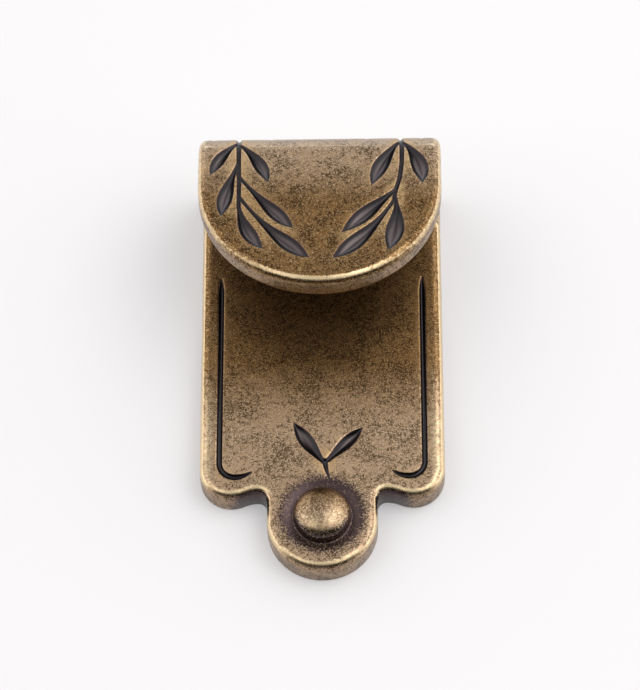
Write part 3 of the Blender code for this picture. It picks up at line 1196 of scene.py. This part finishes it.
@dataclass(frozen=True)
class WearAndShade:
    """How tarnish and handling follow the casting's shape, and where light and shade are painted, in
    millimetres and shares.
    """

    dish_fade: Slope = Slope(1.9, 2.6)
    dish_foot: Slope = Slope(0.1, 1.0)
    dish_foot_share: float = 0.32
    nook_lean: Slope = Slope(0.85, 0.3)
    nook_reach: Slope = Slope(5.5, 3.0)
    crease: Slope = Slope(0.2, 0.3)
    button_foot: Slope = Slope(0.72, 0.2)
    button_foot_least: float = 0.42
    button_foot_middle: float = 0.55
    edge: Slope = Slope(0.4, 1 / 2.9)
    front_from: Slope = Slope(0.66, 0.14)
    front_until: Slope = Slope(0.996, 0.03)
    side_from: Slope = Slope(0.0, 0.30)
    side_until: Slope = Slope(0.86, 0.16)
    beside_cut: Slope = Slope(-1.0, 0.8)
    beside_cut_share: float = 0.85
    ring_rim: Slope = Slope(1.2, 0.6)
    flap_side_share: float = 0.2
    flap_end: Slope = Slope(8.0, 6.0)
    flap_end_lean: Slope = Slope(0.45, 0.3)
    under_flap: Slope = Slope(-11.0, 12.0)
    under_flap_rise: float = 0.5
    under_flap_past: float = 1.5
    border_edge: Slope = Slope(0.6, 0.7)
    border_rise: float = 0.1
    border_lean: Slope = Slope(0.0, 0.4)
    border_flat: Slope = Slope(0.75, 0.2)
    border_share: float = 0.30
    border_flat_share: float = 0.22
    border_shaded: float = 0.5
    button_rub: float = 0.32
    button_rub_tilt: float = -0.05
    flap_shade: Slope = Slope(1.0, 9.0)
    shade_lean: Slope = Slope(0.05, 0.45)
    shade_share: float = 0.95
    button_shade: float = 0.30
    button_shade_tilt: float = 0.2
    button_shade_most: float = 0.9
    sheen_top: Slope = Slope(0.0, 3.5)
    sheen_back: Slope = Slope(-9.0, 3.0)
    deep: Slope = Slope(-0.2, 1.2)

    def hollow(self, seen: Survey) -> np.ndarray:
        """Where oxide stays: the dished ring, the nooks, the creases and the button's foot, with
        painted light on the ring's lower side and painted shade on the foot's.

        Args:
            seen: The casting's measurements.

        Returns:
            A value from 0 to 1 for each point.
        """
        casting, button = seen.casting, seen.casting.button
        dish = self.dish_fade.down(seen.radial - button.outer) * seen.at_front
        # Painted light: the ring's oxide thins towards its lower side.
        dish *= 1 - self.dish_foot_share * self.dish_foot.up(-seen.over_button / button.outer)
        corner_x = casting.tongue_half_width + casting.tongue_fillet
        off_corner = np.hypot(abs(seen.x) - corner_x, seen.y - casting.root_y)
        nook = np.maximum(self.nook_reach.down(off_corner), self.crease.up(seen.concave))
        hollow = np.maximum(dish, nook * self.nook_lean.down(seen.lean))
        foot = self.button_foot.up(seen.radial / button.radius)
        # Painted shade: the oxide at the button's foot darkens towards its lower side.
        low_side = self.button_foot_middle - seen.over_button / button.radius
        foot *= np.clip(low_side, self.button_foot_least, 1)
        return np.where(seen.on_button, np.maximum(hollow, foot), hollow)

    def under(self, seen: Survey) -> np.ndarray:
        """How far each point of the plate lies in the shade of the flap.

        Args:
            seen: The casting's measurements.

        Returns:
            A value from 0 to 1 for each point.
        """
        low = seen.z < seen.casting.plate_thickness + self.under_flap_rise
        in_front = seen.y < seen.casting.wall_in + self.under_flap_past
        return self.under_flap.up(seen.y) * low * in_front

    def border(self, seen: Survey) -> np.ndarray:
        """The strip of plate outside the grooves, made lighter, most where it faces the front.

        Args:
            seen: The casting's measurements.

        Returns:
            A value from 0 to 1 for each point.
        """
        casting = seen.casting
        past_groove = abs(seen.x) - casting.width / 2 + casting.groove_inset
        border = self.border_edge.up(past_groove) * self.border_lean.up(seen.lean)
        border *= seen.z < casting.plate_thickness + self.border_rise
        return border * (self.border_share + self.border_flat_share * self.border_flat.up(seen.lean))

    def rub(self, seen: Survey) -> np.ndarray:
        """Where the brass is bared: worn edges, the flap's end, the plate's border and the button,
        with painted light mixed in.

        Args:
            seen: The casting's measurements.

        Returns:
            A value from 0 to 1 for each point.
        """
        front = self.front_from.up(seen.lean) * self.front_until.down(seen.lean)
        aside = self.side_from.up(seen.lean) * self.side_until.down(seen.lean)
        shoulder = front + (aside - front) * seen.sideways
        rub = self.edge.up(seen.convex) * shoulder
        rub *= 1 - self.beside_cut_share * self.beside_cut.up(seen.cuts.inside)
        rub *= 1 - self.ring_rim.down(seen.radial - seen.casting.button.outer) * seen.at_front
        rub *= 1 - self.flap_side_share * seen.sideways * seen.on_flap
        # The flap's end wall: worn, and brightened further as a painted reflection of the plate and
        # floor below it.
        end = seen.on_flap * self.flap_end.down(seen.y) * self.flap_end_lean.down(seen.lean)
        # The border is lighter, less so under the flap, where shade is painted.
        border = self.border(seen) * (1 - self.border_shaded * self.under(seen))
        rub = np.maximum(np.maximum(rub, end), border)
        # The button is rubbed, more towards its lower side as a painted highlight.
        button = self.button_rub + self.button_rub_tilt * seen.over_button
        return np.where(seen.on_button, button, rub)

    def shade(self, seen: Survey) -> np.ndarray:
        """Where shade is painted, as darker, browner brass: down the flap, on the plate under it, and
        up the button.

        Args:
            seen: The casting's measurements.

        Returns:
            A value from 0 to 1 for each point.
        """
        flap = seen.on_skin * self.flap_shade.up(seen.reach)
        shade = self.shade_share * np.maximum(flap, self.under(seen))
        shade *= self.shade_lean.up(seen.lean)
        button = self.button_shade + self.button_shade_tilt * seen.over_button
        return np.where(seen.on_button, np.clip(button, 0, self.button_shade_most), shade)

    def masks(self, seen: Survey) -> dict[Mask, np.ndarray]:
        """All that the finish follows.

        Args:
            seen: The casting's measurements.

        Returns:
            The values of each mask, from 0 to 1.
        """
        # Painted sheen: the bend is greyed as the reflection of the bright backdrop that it catches.
        over_bend = self.sheen_top.down(seen.reach) * self.sheen_back.up(seen.reach)
        return {
            Mask.HOLLOW: self.hollow(seen),
            Mask.DEEP: self.deep.up(seen.cuts.inside),
            Mask.RUB: self.rub(seen),
            Mask.STRIP: seen.cuts.hemmed,
            Mask.SHADE: self.shade(seen),
            Mask.PALE: over_bend * seen.on_skin,
            Mask.SHINE: seen.cuts.bright,
        }


@dataclass(frozen=True)
class Pattern:
    """A noise pattern: features in each millimetre, octaves, their strength, warp and shift."""

    per_mm: float
    octaves: float
    rough: float = 0.5
    warp: float = 0.0
    shift: float = 0.0


@dataclass(frozen=True)
class Ramp:
    """A smooth change from start to end as a value goes from low to high."""

    low: float
    high: float
    start: float = 0.0
    end: float = 1.0


class NodeBench:
    """A short way to lay out nodes in one tree."""

    def __init__(self, tree: bpy.types.NodeTree) -> None:
        """Keeps the tree that the nodes go into."""
        self.tree = tree

    def link(self, source: Socket, target: Socket) -> None:
        """Joins an output to an input."""
        self.tree.links.new(source, target)

    def set(self, socket: Socket, value: Socket | float | Colour) -> None:
        """Gives an input a value, or joins an output to it.

        Args:
            socket: The input.
            value: A number, a colour or an output.
        """
        if isinstance(value, Socket):
            self.link(value, socket)
        else:
            socket.default_value = value

    def in_millimetres(self) -> Socket:
        """Object coordinates turned into millimetres.

        Returns:
            The vector to put patterns on.
        """
        coordinates = self.tree.nodes.new("ShaderNodeTexCoord")
        mapping = self.tree.nodes.new("ShaderNodeMapping")
        mapping.inputs["Scale"].default_value = (1 / MM, 1 / MM, 1 / MM)
        self.link(coordinates.outputs["Object"], mapping.inputs["Vector"])
        return mapping.outputs["Vector"]

    def shifted(self, vector: Socket, by: float) -> Socket:
        """Coordinates moved along all axes, for a pattern unlike the others.

        Args:
            vector: Coordinates in millimetres.
            by: The move along each axis.

        Returns:
            The moved coordinates.
        """
        node = self.tree.nodes.new("ShaderNodeVectorMath")
        node.operation = "ADD"
        node.inputs[1].default_value = (by, by, by)
        self.link(vector, node.inputs[0])
        return node.outputs[0]

    def drawn_out(self, vector: Socket, turn: float, across: float, along: float) -> Socket:
        """Coordinates turned in the plane and scaled apart, for a pattern of fine lines.

        Args:
            vector: Coordinates in millimetres.
            turn: Angle of the lines from +X.
            across: Scale across the lines.
            along: Scale along them.

        Returns:
            The turned and scaled coordinates.
        """
        mapping = self.tree.nodes.new("ShaderNodeMapping")
        mapping.vector_type = "TEXTURE"
        mapping.inputs["Rotation"].default_value = (0.0, 0.0, turn)
        mapping.inputs["Scale"].default_value = (1 / along, 1 / across, 1.0)
        self.link(vector, mapping.inputs["Vector"])
        return mapping.outputs["Vector"]

    def noise(self, vector: Socket, pattern: Pattern) -> Socket:
        """A noise value from 0 to 1.

        Args:
            vector: Coordinates in millimetres.
            pattern: Its scale and character.

        Returns:
            The value.
        """
        node = self.tree.nodes.new("ShaderNodeTexNoise")
        place = self.shifted(vector, pattern.shift) if pattern.shift else vector
        self.link(place, node.inputs["Vector"])
        node.inputs["Scale"].default_value = pattern.per_mm
        node.inputs["Detail"].default_value = pattern.octaves
        node.inputs["Roughness"].default_value = pattern.rough
        node.inputs["Distortion"].default_value = pattern.warp
        return node.outputs["Fac"]

    def mask(self, mask: Mask) -> Socket:
        """A value stored on the mesh.

        Args:
            mask: Which one.

        Returns:
            The value.
        """
        node = self.tree.nodes.new("ShaderNodeAttribute")
        node.attribute_name = mask.value
        return node.outputs["Fac"]

    def math(self, step: Sum, first: Socket | float, second: Socket | float, clamp: bool) -> Socket:
        """One step of arithmetic.

        Args:
            step: What is done.
            first: The first number.
            second: The second number.
            clamp: Whether the result is kept from 0 to 1.

        Returns:
            The result.
        """
        node = self.tree.nodes.new("ShaderNodeMath")
        node.operation = step.value
        node.use_clamp = clamp
        self.set(node.inputs[0], first)
        self.set(node.inputs[1], second)
        return node.outputs[0]

    def plus(self, first: Socket | float, second: Socket | float, clamp: bool = False) -> Socket:
        """The sum of two numbers."""
        return self.math(Sum.ADD, first, second, clamp)

    def minus(self, first: Socket | float, second: Socket | float) -> Socket:
        """The second number taken from the first."""
        return self.math(Sum.SUBTRACT, first, second, False)

    def times(self, first: Socket | float, second: Socket | float, clamp: bool = False) -> Socket:
        """The product of two numbers."""
        return self.math(Sum.MULTIPLY, first, second, clamp)

    def larger(self, first: Socket | float, second: Socket | float) -> Socket:
        """The larger of two numbers."""
        return self.math(Sum.MAXIMUM, first, second, False)

    def ease(self, value: Socket, ramp: Ramp) -> Socket:
        """A value carried smoothly along a ramp.

        Args:
            value: The value.
            ramp: Where it is eased from and to.

        Returns:
            The eased value.
        """
        node = self.tree.nodes.new("ShaderNodeMapRange")
        node.interpolation_type = "SMOOTHSTEP"
        self.set(node.inputs["Value"], value)
        node.inputs["From Min"].default_value = ramp.low
        node.inputs["From Max"].default_value = ramp.high
        node.inputs["To Min"].default_value = ramp.start
        node.inputs["To Max"].default_value = ramp.end
        return node.outputs["Result"]

    def blend(self, factor: Socket, first: Socket | Colour, second: Socket | Colour) -> Socket:
        """A mix of two colours.

        Args:
            factor: The share of the second.
            first: The first colour.
            second: The second colour.

        Returns:
            The mixed colour.
        """
        node = self.tree.nodes.new("ShaderNodeMix")
        node.data_type = "RGBA"
        # The node has a pair of sockets for each data type. Its colours are at 6 and 7, and out at 2.
        self.set(node.inputs[0], factor)
        self.set(node.inputs[6], first)
        self.set(node.inputs[7], second)
        return node.outputs[2]

    def bump(self, height: Socket, strength: float, distance: float) -> Socket:
        """A bumped normal.

        Args:
            height: The relief, from 0 to 1.
            strength: How much of it is felt.
            distance: Its depth, in metres.

        Returns:
            The normal.
        """
        node = self.tree.nodes.new("ShaderNodeBump")
        node.inputs["Strength"].default_value = strength
        node.inputs["Distance"].default_value = distance
        self.link(height, node.inputs["Height"])
        return node.outputs["Normal"]


class FinishBench(NodeBench):
    """The nodes of one material, round its Principled shader."""

    def __init__(self, name: str) -> None:
        """Makes the material.

        Args:
            name: What it is called.
        """
        self.material = bpy.data.materials.new(name)
        self.material.use_nodes = True
        super().__init__(self.material.node_tree)
        self.shader = self.tree.nodes["Principled BSDF"]


@dataclass(frozen=True)
class AntiqueBrass:
    """Brass darkened all over, then rubbed back on its high places, with shade, a sheen on the bend
    and highlights in the leaves painted into its colour.
    """

    name: str = "antique_brass_rubbed"
    # The darkened brass in the light.
    aged: Colour = (0.328, 0.226, 0.145, 1.0)
    warm: Colour = (0.370, 0.248, 0.146, 1.0)
    tarnish: Colour = (0.105, 0.060, 0.028, 1.0)
    speckle: Colour = (0.56, 0.43, 0.29, 1.0)
    # Painted shade: the darker, browner brass of the flap, of the plate under it and of the button's
    # top. Umber darkens its tarnish and is also the colour of the stains; gold colours its specks and
    # also the cleaned strips between cuts.
    shaded: Colour = (0.172, 0.089, 0.028, 1.0)
    umber: Colour = (0.055, 0.026, 0.009, 1.0)
    gold: Colour = (0.52, 0.348, 0.170, 1.0)
    # The painted sheen on the bend, the bare brass of worn edges and painted highlights, and the
    # black of the hollows and cuts.
    bend_sheen: Colour = (0.50, 0.45, 0.38, 1.0)
    bare: Colour = (0.82, 0.635, 0.385, 1.0)
    oxide: Colour = (0.055, 0.034, 0.034, 1.0)
    soot: Colour = (0.009, 0.006, 0.007, 1.0)
    # The noise patterns.
    grain: Pattern = Pattern(2.6, 3.0, 0.65)
    fine: Pattern = Pattern(6.0, 2.0, 0.6)
    spots: Pattern = Pattern(4.6, 3.0, 0.65, shift=17.0)
    patches: Pattern = Pattern(1.5, 2.0, 0.6, shift=5.0)
    stains: Pattern = Pattern(0.55, 3.0, 0.65, 0.3, shift=23.0)
    clouds: Pattern = Pattern(0.22, 3.0, 0.6, 0.4)
    hairs: Pattern = Pattern(1.0, 2.0, 0.5)
    hair_across: float = 5.0
    hair_along: float = 0.35
    hair_turns: tuple[Place, ...] = ((0.5, 3.0), (-0.9, 8.0), (1.9, 13.0))
    noise_middle: float = 0.5
    # How the patterns and masks are mixed into the colour.
    mottle_of_speck: float = 0.56
    mottle_of_patches: float = 0.44
    mottle_of_clouds: float = 0.36
    warming: Ramp = Ramp(0.32, 0.68)
    tarnishing: Ramp = Ramp(0.53, 0.435)
    tarnish_rubbed: Ramp = Ramp(0.0, 0.6, 1.0, 0.35)
    staining: Ramp = Ramp(0.50, 0.66)
    stain_shaded: Ramp = Ramp(0.0, 1.0, 0.25, 0.6)
    bend_sheen_share: float = 0.5
    spotting: Ramp = Ramp(0.52, 0.64)
    spot_shaded: Ramp = Ramp(0.0, 1.0, 1.0, 0.6)
    spot_gain: float = 1.15
    hairing: Ramp = Ramp(0.66, 0.72, 0.0, 0.4)
    strip_smoothing: Ramp = Ramp(0.42, 0.56, 0.1, 0.8)
    wear_of_grit: float = 0.9
    wear_of_patches: float = 0.6
    wearing: Ramp = Ramp(0.25, 0.95)
    hollow_of_grit: float = -3.0
    hollowing: Ramp = Ramp(0.36, 0.86)
    cutting: Ramp = Ramp(0.12, 0.21)
    glinting: Ramp = Ramp(0.35, 0.90)
    sooting: Ramp = Ramp(0.14, 0.35)
    soot_bright: Ramp = Ramp(0.0, 1.0, 1.0, 0.2)
    # How it shines.
    metal_lost: float = 0.12
    roughness: Ramp = Ramp(0.3, 0.7, 0.34, 0.48)
    oxide_smooths: float = -0.14
    rub_smooths: float = -0.20
    lacquer: float = 0.12
    lacquer_left: float = 0.3
    glaze: float = 0.8
    glaze_least: float = 0.3
    glazing: Ramp = Ramp(0.12, 0.5)
    lacquer_roughness: float = 0.22
    bump_strength: float = 0.35
    bump_depth: float = 0.05

    def material(self) -> bpy.types.Material:
        """Lays out the finish: mottled tarnish, oxide in the hollows, bare brass on the edges.

        Returns:
            The material.
        """
        layers = BrassLayers(self)
        body = layers.tarnished()
        body = layers.flecked(body)
        body = layers.worn(body)
        layers.shine_with(layers.blackened(body))
        return layers.material


class BrassLayers(FinishBench):
    """The antiqued brass while it is laid out, one layer over another."""

    def __init__(self, finish: AntiqueBrass) -> None:
        """Reads the masks and sets up the patterns that more than one layer uses.

        Args:
            finish: The colours, patterns and shares.
        """
        super().__init__(finish.name)
        self.finish = finish
        self.place = self.in_millimetres()
        self.masks = {mask: self.mask(mask) for mask in Mask}
        self.shade, self.rub = self.masks[Mask.SHADE], self.masks[Mask.RUB]
        self.fine = self.noise(self.place, finish.fine)
        self.patches = self.noise(self.place, finish.patches)
        grain = self.noise(self.place, finish.grain)
        self.speck = self.plus(self.times(grain, 0.5), self.times(self.fine, 0.5))
        self.grit = self.minus(self.speck, finish.noise_middle)
        sunk = self.plus(self.masks[Mask.HOLLOW], self.times(self.grit, finish.hollow_of_grit))
        cut = self.ease(self.masks[Mask.DEEP], finish.cutting)
        self.oxidised = self.larger(self.ease(sunk, finish.hollowing), cut)
        # A highlight painted in the deeper parts of the leaves, towards their tips.
        tipped = self.ease(self.masks[Mask.DEEP], finish.glinting)
        self.glint = self.times(self.masks[Mask.SHINE], tipped)

    def tarnished(self) -> Socket:
        """The first layer: clouds, painted shade, mottled tarnish, stains and the painted sheen on
        the bend.

        Returns:
            The colour.
        """
        finish = self.finish
        clouds = self.noise(self.place, finish.clouds)
        body = self.blend(self.ease(clouds, finish.warming), finish.aged, finish.warm)
        # Painted shade: darker, browner brass down the flap, on the plate under it and up the button.
        body = self.blend(self.shade, body, finish.shaded)
        mottle = self.plus(
            self.times(self.speck, finish.mottle_of_speck),
            self.times(self.patches, finish.mottle_of_patches),
        )
        cloudy = self.minus(clouds, finish.noise_middle)
        mottle = self.plus(mottle, self.times(cloudy, finish.mottle_of_clouds))
        kept = self.ease(self.rub, finish.tarnish_rubbed)
        # Where shade is painted, the tarnish darkens to umber.
        tarnish = self.blend(self.shade, finish.tarnish, finish.umber)
        body = self.blend(self.times(self.ease(mottle, finish.tarnishing), kept), body, tarnish)
        stains = self.ease(self.noise(self.place, finish.stains), finish.staining)
        # The stains are real, and stronger where shade is painted.
        stains = self.times(stains, self.ease(self.shade, finish.stain_shaded))
        body = self.blend(stains, body, finish.umber)
        # Painted sheen: the bend is greyed as the reflection of the bright backdrop.
        bend_sheen_amount = self.times(self.masks[Mask.PALE], finish.bend_sheen_share)
        return self.blend(bend_sheen_amount, body, finish.bend_sheen)

    def flecked(self, body: Socket) -> Socket:
        """Adds the bright specks, the hair scratches and the cleaned strips between the cuts.

        Args:
            body: The colour so far.

        Returns:
            The colour.
        """
        finish = self.finish
        # Where shade is painted, the specks turn gold, and fewer of them show.
        fleck = self.blend(self.shade, finish.speckle, finish.gold)
        spots = self.ease(self.noise(self.place, finish.spots), finish.spotting)
        spots = self.times(spots, self.ease(self.shade, finish.spot_shaded))
        body = self.blend(self.times(spots, finish.spot_gain, clamp=True), body, fleck)
        for turn, shift in finish.hair_turns:
            place = self.shifted(self.place, shift)
            place = self.drawn_out(place, turn, finish.hair_across, finish.hair_along)
            body = self.blend(self.ease(self.noise(place, finish.hairs), finish.hairing), body, fleck)
        smooth = self.times(self.masks[Mask.STRIP], self.ease(self.speck, finish.strip_smoothing))
        return self.blend(smooth, body, finish.gold)

    def worn(self, body: Socket) -> Socket:
        """Bares the brass where it is rubbed, and where highlights are painted, with a ragged edge.

        Args:
            body: The colour so far.

        Returns:
            The colour.
        """
        finish = self.finish
        ragged = self.plus(self.rub, self.times(self.grit, finish.wear_of_grit))
        patchy = self.minus(self.patches, finish.noise_middle)
        ragged = self.plus(ragged, self.times(patchy, finish.wear_of_patches))
        return self.blend(self.ease(ragged, finish.wearing), body, finish.bare)

    def blackened(self, body: Socket) -> Socket:
        """Lays oxide in the hollows and cuts, sootier where a cut is deep, less so where a highlight
        is painted near a leaf's tip.

        Args:
            body: The colour so far.

        Returns:
            The colour.
        """
        finish = self.finish
        sooty = self.ease(self.masks[Mask.DEEP], finish.sooting)
        sooty = self.times(sooty, self.ease(self.glint, finish.soot_bright))
        return self.blend(self.oxidised, body, self.blend(sooty, finish.oxide, finish.soot))

    def shine_with(self, body: Socket) -> None:
        """Joins the colour, metal, roughness, clear coat and bump to the shader.

        Args:
            body: The finished colour.
        """
        finish, inputs = self.finish, self.shader.inputs
        self.link(body, inputs["Base Color"])
        self.link(self.minus(1.0, self.times(self.oxidised, finish.metal_lost)), inputs["Metallic"])
        rough = self.ease(self.fine, finish.roughness)
        rough = self.plus(rough, self.times(self.oxidised, finish.oxide_smooths))
        rough = self.plus(rough, self.times(self.rub, finish.rub_smooths))
        self.link(rough, inputs["Roughness"])
        glazed = self.ease(self.glint, Ramp(0.0, 1.0, finish.glaze_least, finish.glaze))
        glazed = self.times(self.ease(self.masks[Mask.DEEP], finish.glazing), glazed)
        thinned = Ramp(0.0, 1.0, finish.lacquer, finish.lacquer_left * finish.lacquer)
        self.link(self.plus(glazed, self.ease(self.shade, thinned)), inputs["Coat Weight"])
        inputs["Coat Roughness"].default_value = finish.lacquer_roughness
        bumped = self.bump(self.speck, finish.bump_strength, finish.bump_depth * MM)
        self.link(bumped, inputs["Normal"])


@dataclass(frozen=True)
class StudioFloor:
    """The pale floor under the pull."""

    span: float = 3.0
    drop: float = 0.02
    colour: Colour = (0.56, 0.546, 0.552, 1.0)
    roughness: float = 0.9
    sheen: float = 0.1
    glow: Colour = (1.0, 1.0, 1.0, 1.0)
    shown: float = 0.285

    def material(self) -> bpy.types.Material:
        """Matt paper that glows a little to the camera and in reflections, but lights nothing.

        Returns:
            The material.
        """
        bench = FinishBench("studio_floor_paper")
        inputs = bench.shader.inputs
        inputs["Base Color"].default_value = self.colour
        inputs["Roughness"].default_value = self.roughness
        inputs["Specular IOR Level"].default_value = self.sheen
        inputs["Emission Color"].default_value = self.glow
        rays = bench.tree.nodes.new("ShaderNodeLightPath").outputs
        seen = bench.plus(rays["Is Camera Ray"], rays["Is Glossy Ray"], clamp=True)
        bench.link(bench.times(seen, self.shown), inputs["Emission Strength"])
        return bench.material

    def build(self) -> bpy.types.Object:
        """Lays the floor just under the pull's back.

        Returns:
            The floor's object.
        """
        bm = bmesh.new()
        bmesh.ops.create_grid(bm, x_segments=1, y_segments=1, size=self.span / 2)
        bmesh.ops.translate(bm, verts=bm.verts, vec=(0, 0, CAD_BOX[0].z - self.drop * MM))
        mesh = bpy.data.meshes.new("studio_floor")
        bm.to_mesh(mesh)
        bm.free()
        mesh.materials.append(self.material())
        floor = bpy.data.objects.new("studio_floor", mesh)
        bpy.context.scene.collection.objects.link(floor)
        return floor


@dataclass(frozen=True)
class Softbox:
    """One square area lamp that looks at the pull, in metres and watts."""

    name: str
    place: tuple[float, float, float]
    size: float
    power: float

    def build(self) -> bpy.types.Object:
        """Hangs the lamp.

        Returns:
            The lamp's object.
        """
        lamp = bpy.data.lights.new(self.name, "AREA")
        lamp.shape = "SQUARE"
        lamp.size = self.size
        lamp.energy = self.power
        obj = bpy.data.objects.new(self.name, lamp)
        obj.location = self.place
        obj.rotation_euler = (-Vector(self.place)).to_track_quat("-Z", "Y").to_euler()
        bpy.context.scene.collection.objects.link(obj)
        return obj


@dataclass(frozen=True)
class Studio:
    """A light tent, brighter at its foot, sides and back, open and dark in front, with a lamp."""

    tent: Colour = (0.55, 0.555, 0.57, 1.0)
    foot: Colour = (1.38, 1.46, 1.60, 1.0)
    overhead: Colour = (0.66, 0.66, 0.66, 1.0)
    left: Colour = (1.60, 1.58, 1.58, 1.0)
    right: Colour = (1.75, 1.73, 1.73, 1.0)
    back: Colour = (1.42, 1.50, 1.62, 1.0)
    opening: Colour = (0.03, 0.028, 0.025, 1.0)
    # Each ramp goes along one axis of the unit vector that points at a part of the tent.
    foot_z: Ramp = Ramp(0.60, 0.15)
    overhead_y: Ramp = Ramp(0.25, 0.0)
    left_x: Ramp = Ramp(-0.12, -0.50)
    right_x: Ramp = Ramp(0.12, 0.50)
    back_y: Ramp = Ramp(0.68, 0.97)
    opening_y: Ramp = Ramp(-0.25, -0.60)
    opening_z: Ramp = Ramp(0.86, 0.62)
    lamps: tuple[Softbox, ...] = (Softbox("softbox_above", (0.28, 0.09, 0.60), 0.46, 1.02),)

    def world(self) -> bpy.types.World:
        """The tent, as a colour for each direction.

        Returns:
            The world.
        """
        world = bpy.data.worlds.new("light_tent")
        world.use_nodes = True
        bench = NodeBench(world.node_tree)
        split = bench.tree.nodes.new("ShaderNodeSeparateXYZ")
        bench.link(bench.tree.nodes.new("ShaderNodeTexCoord").outputs["Generated"], split.inputs[0])
        lit = self.tent
        for axis, ramp, colour in (
            ("Z", self.foot_z, self.foot),
            ("Y", self.overhead_y, self.overhead),
            ("X", self.left_x, self.left),
            ("X", self.right_x, self.right),
            ("Y", self.back_y, self.back),
        ):
            lit = bench.blend(bench.ease(split.outputs[axis], ramp), lit, colour)
        front = bench.ease(split.outputs["Y"], self.opening_y)
        dark = bench.times(front, bench.ease(split.outputs["Z"], self.opening_z))
        colour_in = bench.tree.nodes["Background"].inputs["Color"]
        bench.link(bench.blend(dark, lit, self.opening), colour_in)
        return world

    def build(self) -> list[bpy.types.Object]:
        """Lights the scene.

        Returns:
            The lamps.
        """
        bpy.context.scene.world = self.world()
        return [lamp.build() for lamp in self.lamps]


@dataclass(frozen=True)
class ViewCamera:
    """The camera, from a fit to the photograph's outline."""

    target: tuple[float, float, float] = (-0.39 * MM, 6.714 * MM, 0.0)
    distance: float = 523.7 * MM
    elevation: float = radians(62.740)
    azimuth: float = radians(2.274)
    roll: float = radians(-2.650)
    lens: float = 171.92
    clip_start: float = 0.01
    clip_end: float = 10.0

    def build(self) -> bpy.types.Object:
        """Places the camera and makes it the scene's.

        Returns:
            The camera's object.
        """
        back = Vector((
            sin(self.azimuth) * cos(self.elevation),
            -cos(self.azimuth) * cos(self.elevation),
            sin(self.elevation),
        ))
        right = Vector((0, 0, 1)).cross(back).normalized()
        up = back.cross(right)
        turned_right = right * cos(self.roll) + up * sin(self.roll)
        turned_up = up * cos(self.roll) - right * sin(self.roll)
        data = bpy.data.cameras.new("view_camera")
        data.lens = self.lens
        data.clip_start, data.clip_end = self.clip_start, self.clip_end
        camera = bpy.data.objects.new("view_camera", data)
        turn = Matrix((turned_right, turned_up, back)).transposed().to_4x4()
        camera.matrix_world = Matrix.Translation(Vector(self.target) + back * self.distance) @ turn
        bpy.context.scene.collection.objects.link(camera)
        bpy.context.scene.camera = camera
        return camera


def main() -> None:
    """Builds the pull, its finish and the studio, and reports each."""
    logging.basicConfig(level=logging.INFO, format="%(name)s: %(message)s")
    casting = PullCasting()
    pull = casting.build()
    pull.data.materials.append(AntiqueBrass().material())
    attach(pull, BODY)
    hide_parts(CAD_NODE)
    LOG.info("%s has %d faces", pull.name, len(pull.data.polygons))
    for staged in (StudioFloor().build(), *Studio().build(), ViewCamera().build()):
        LOG.info("%s is in place", staged.name)
    bpy.context.scene.view_settings.view_transform = "Standard"


if __name__ == "__main__":
    main()
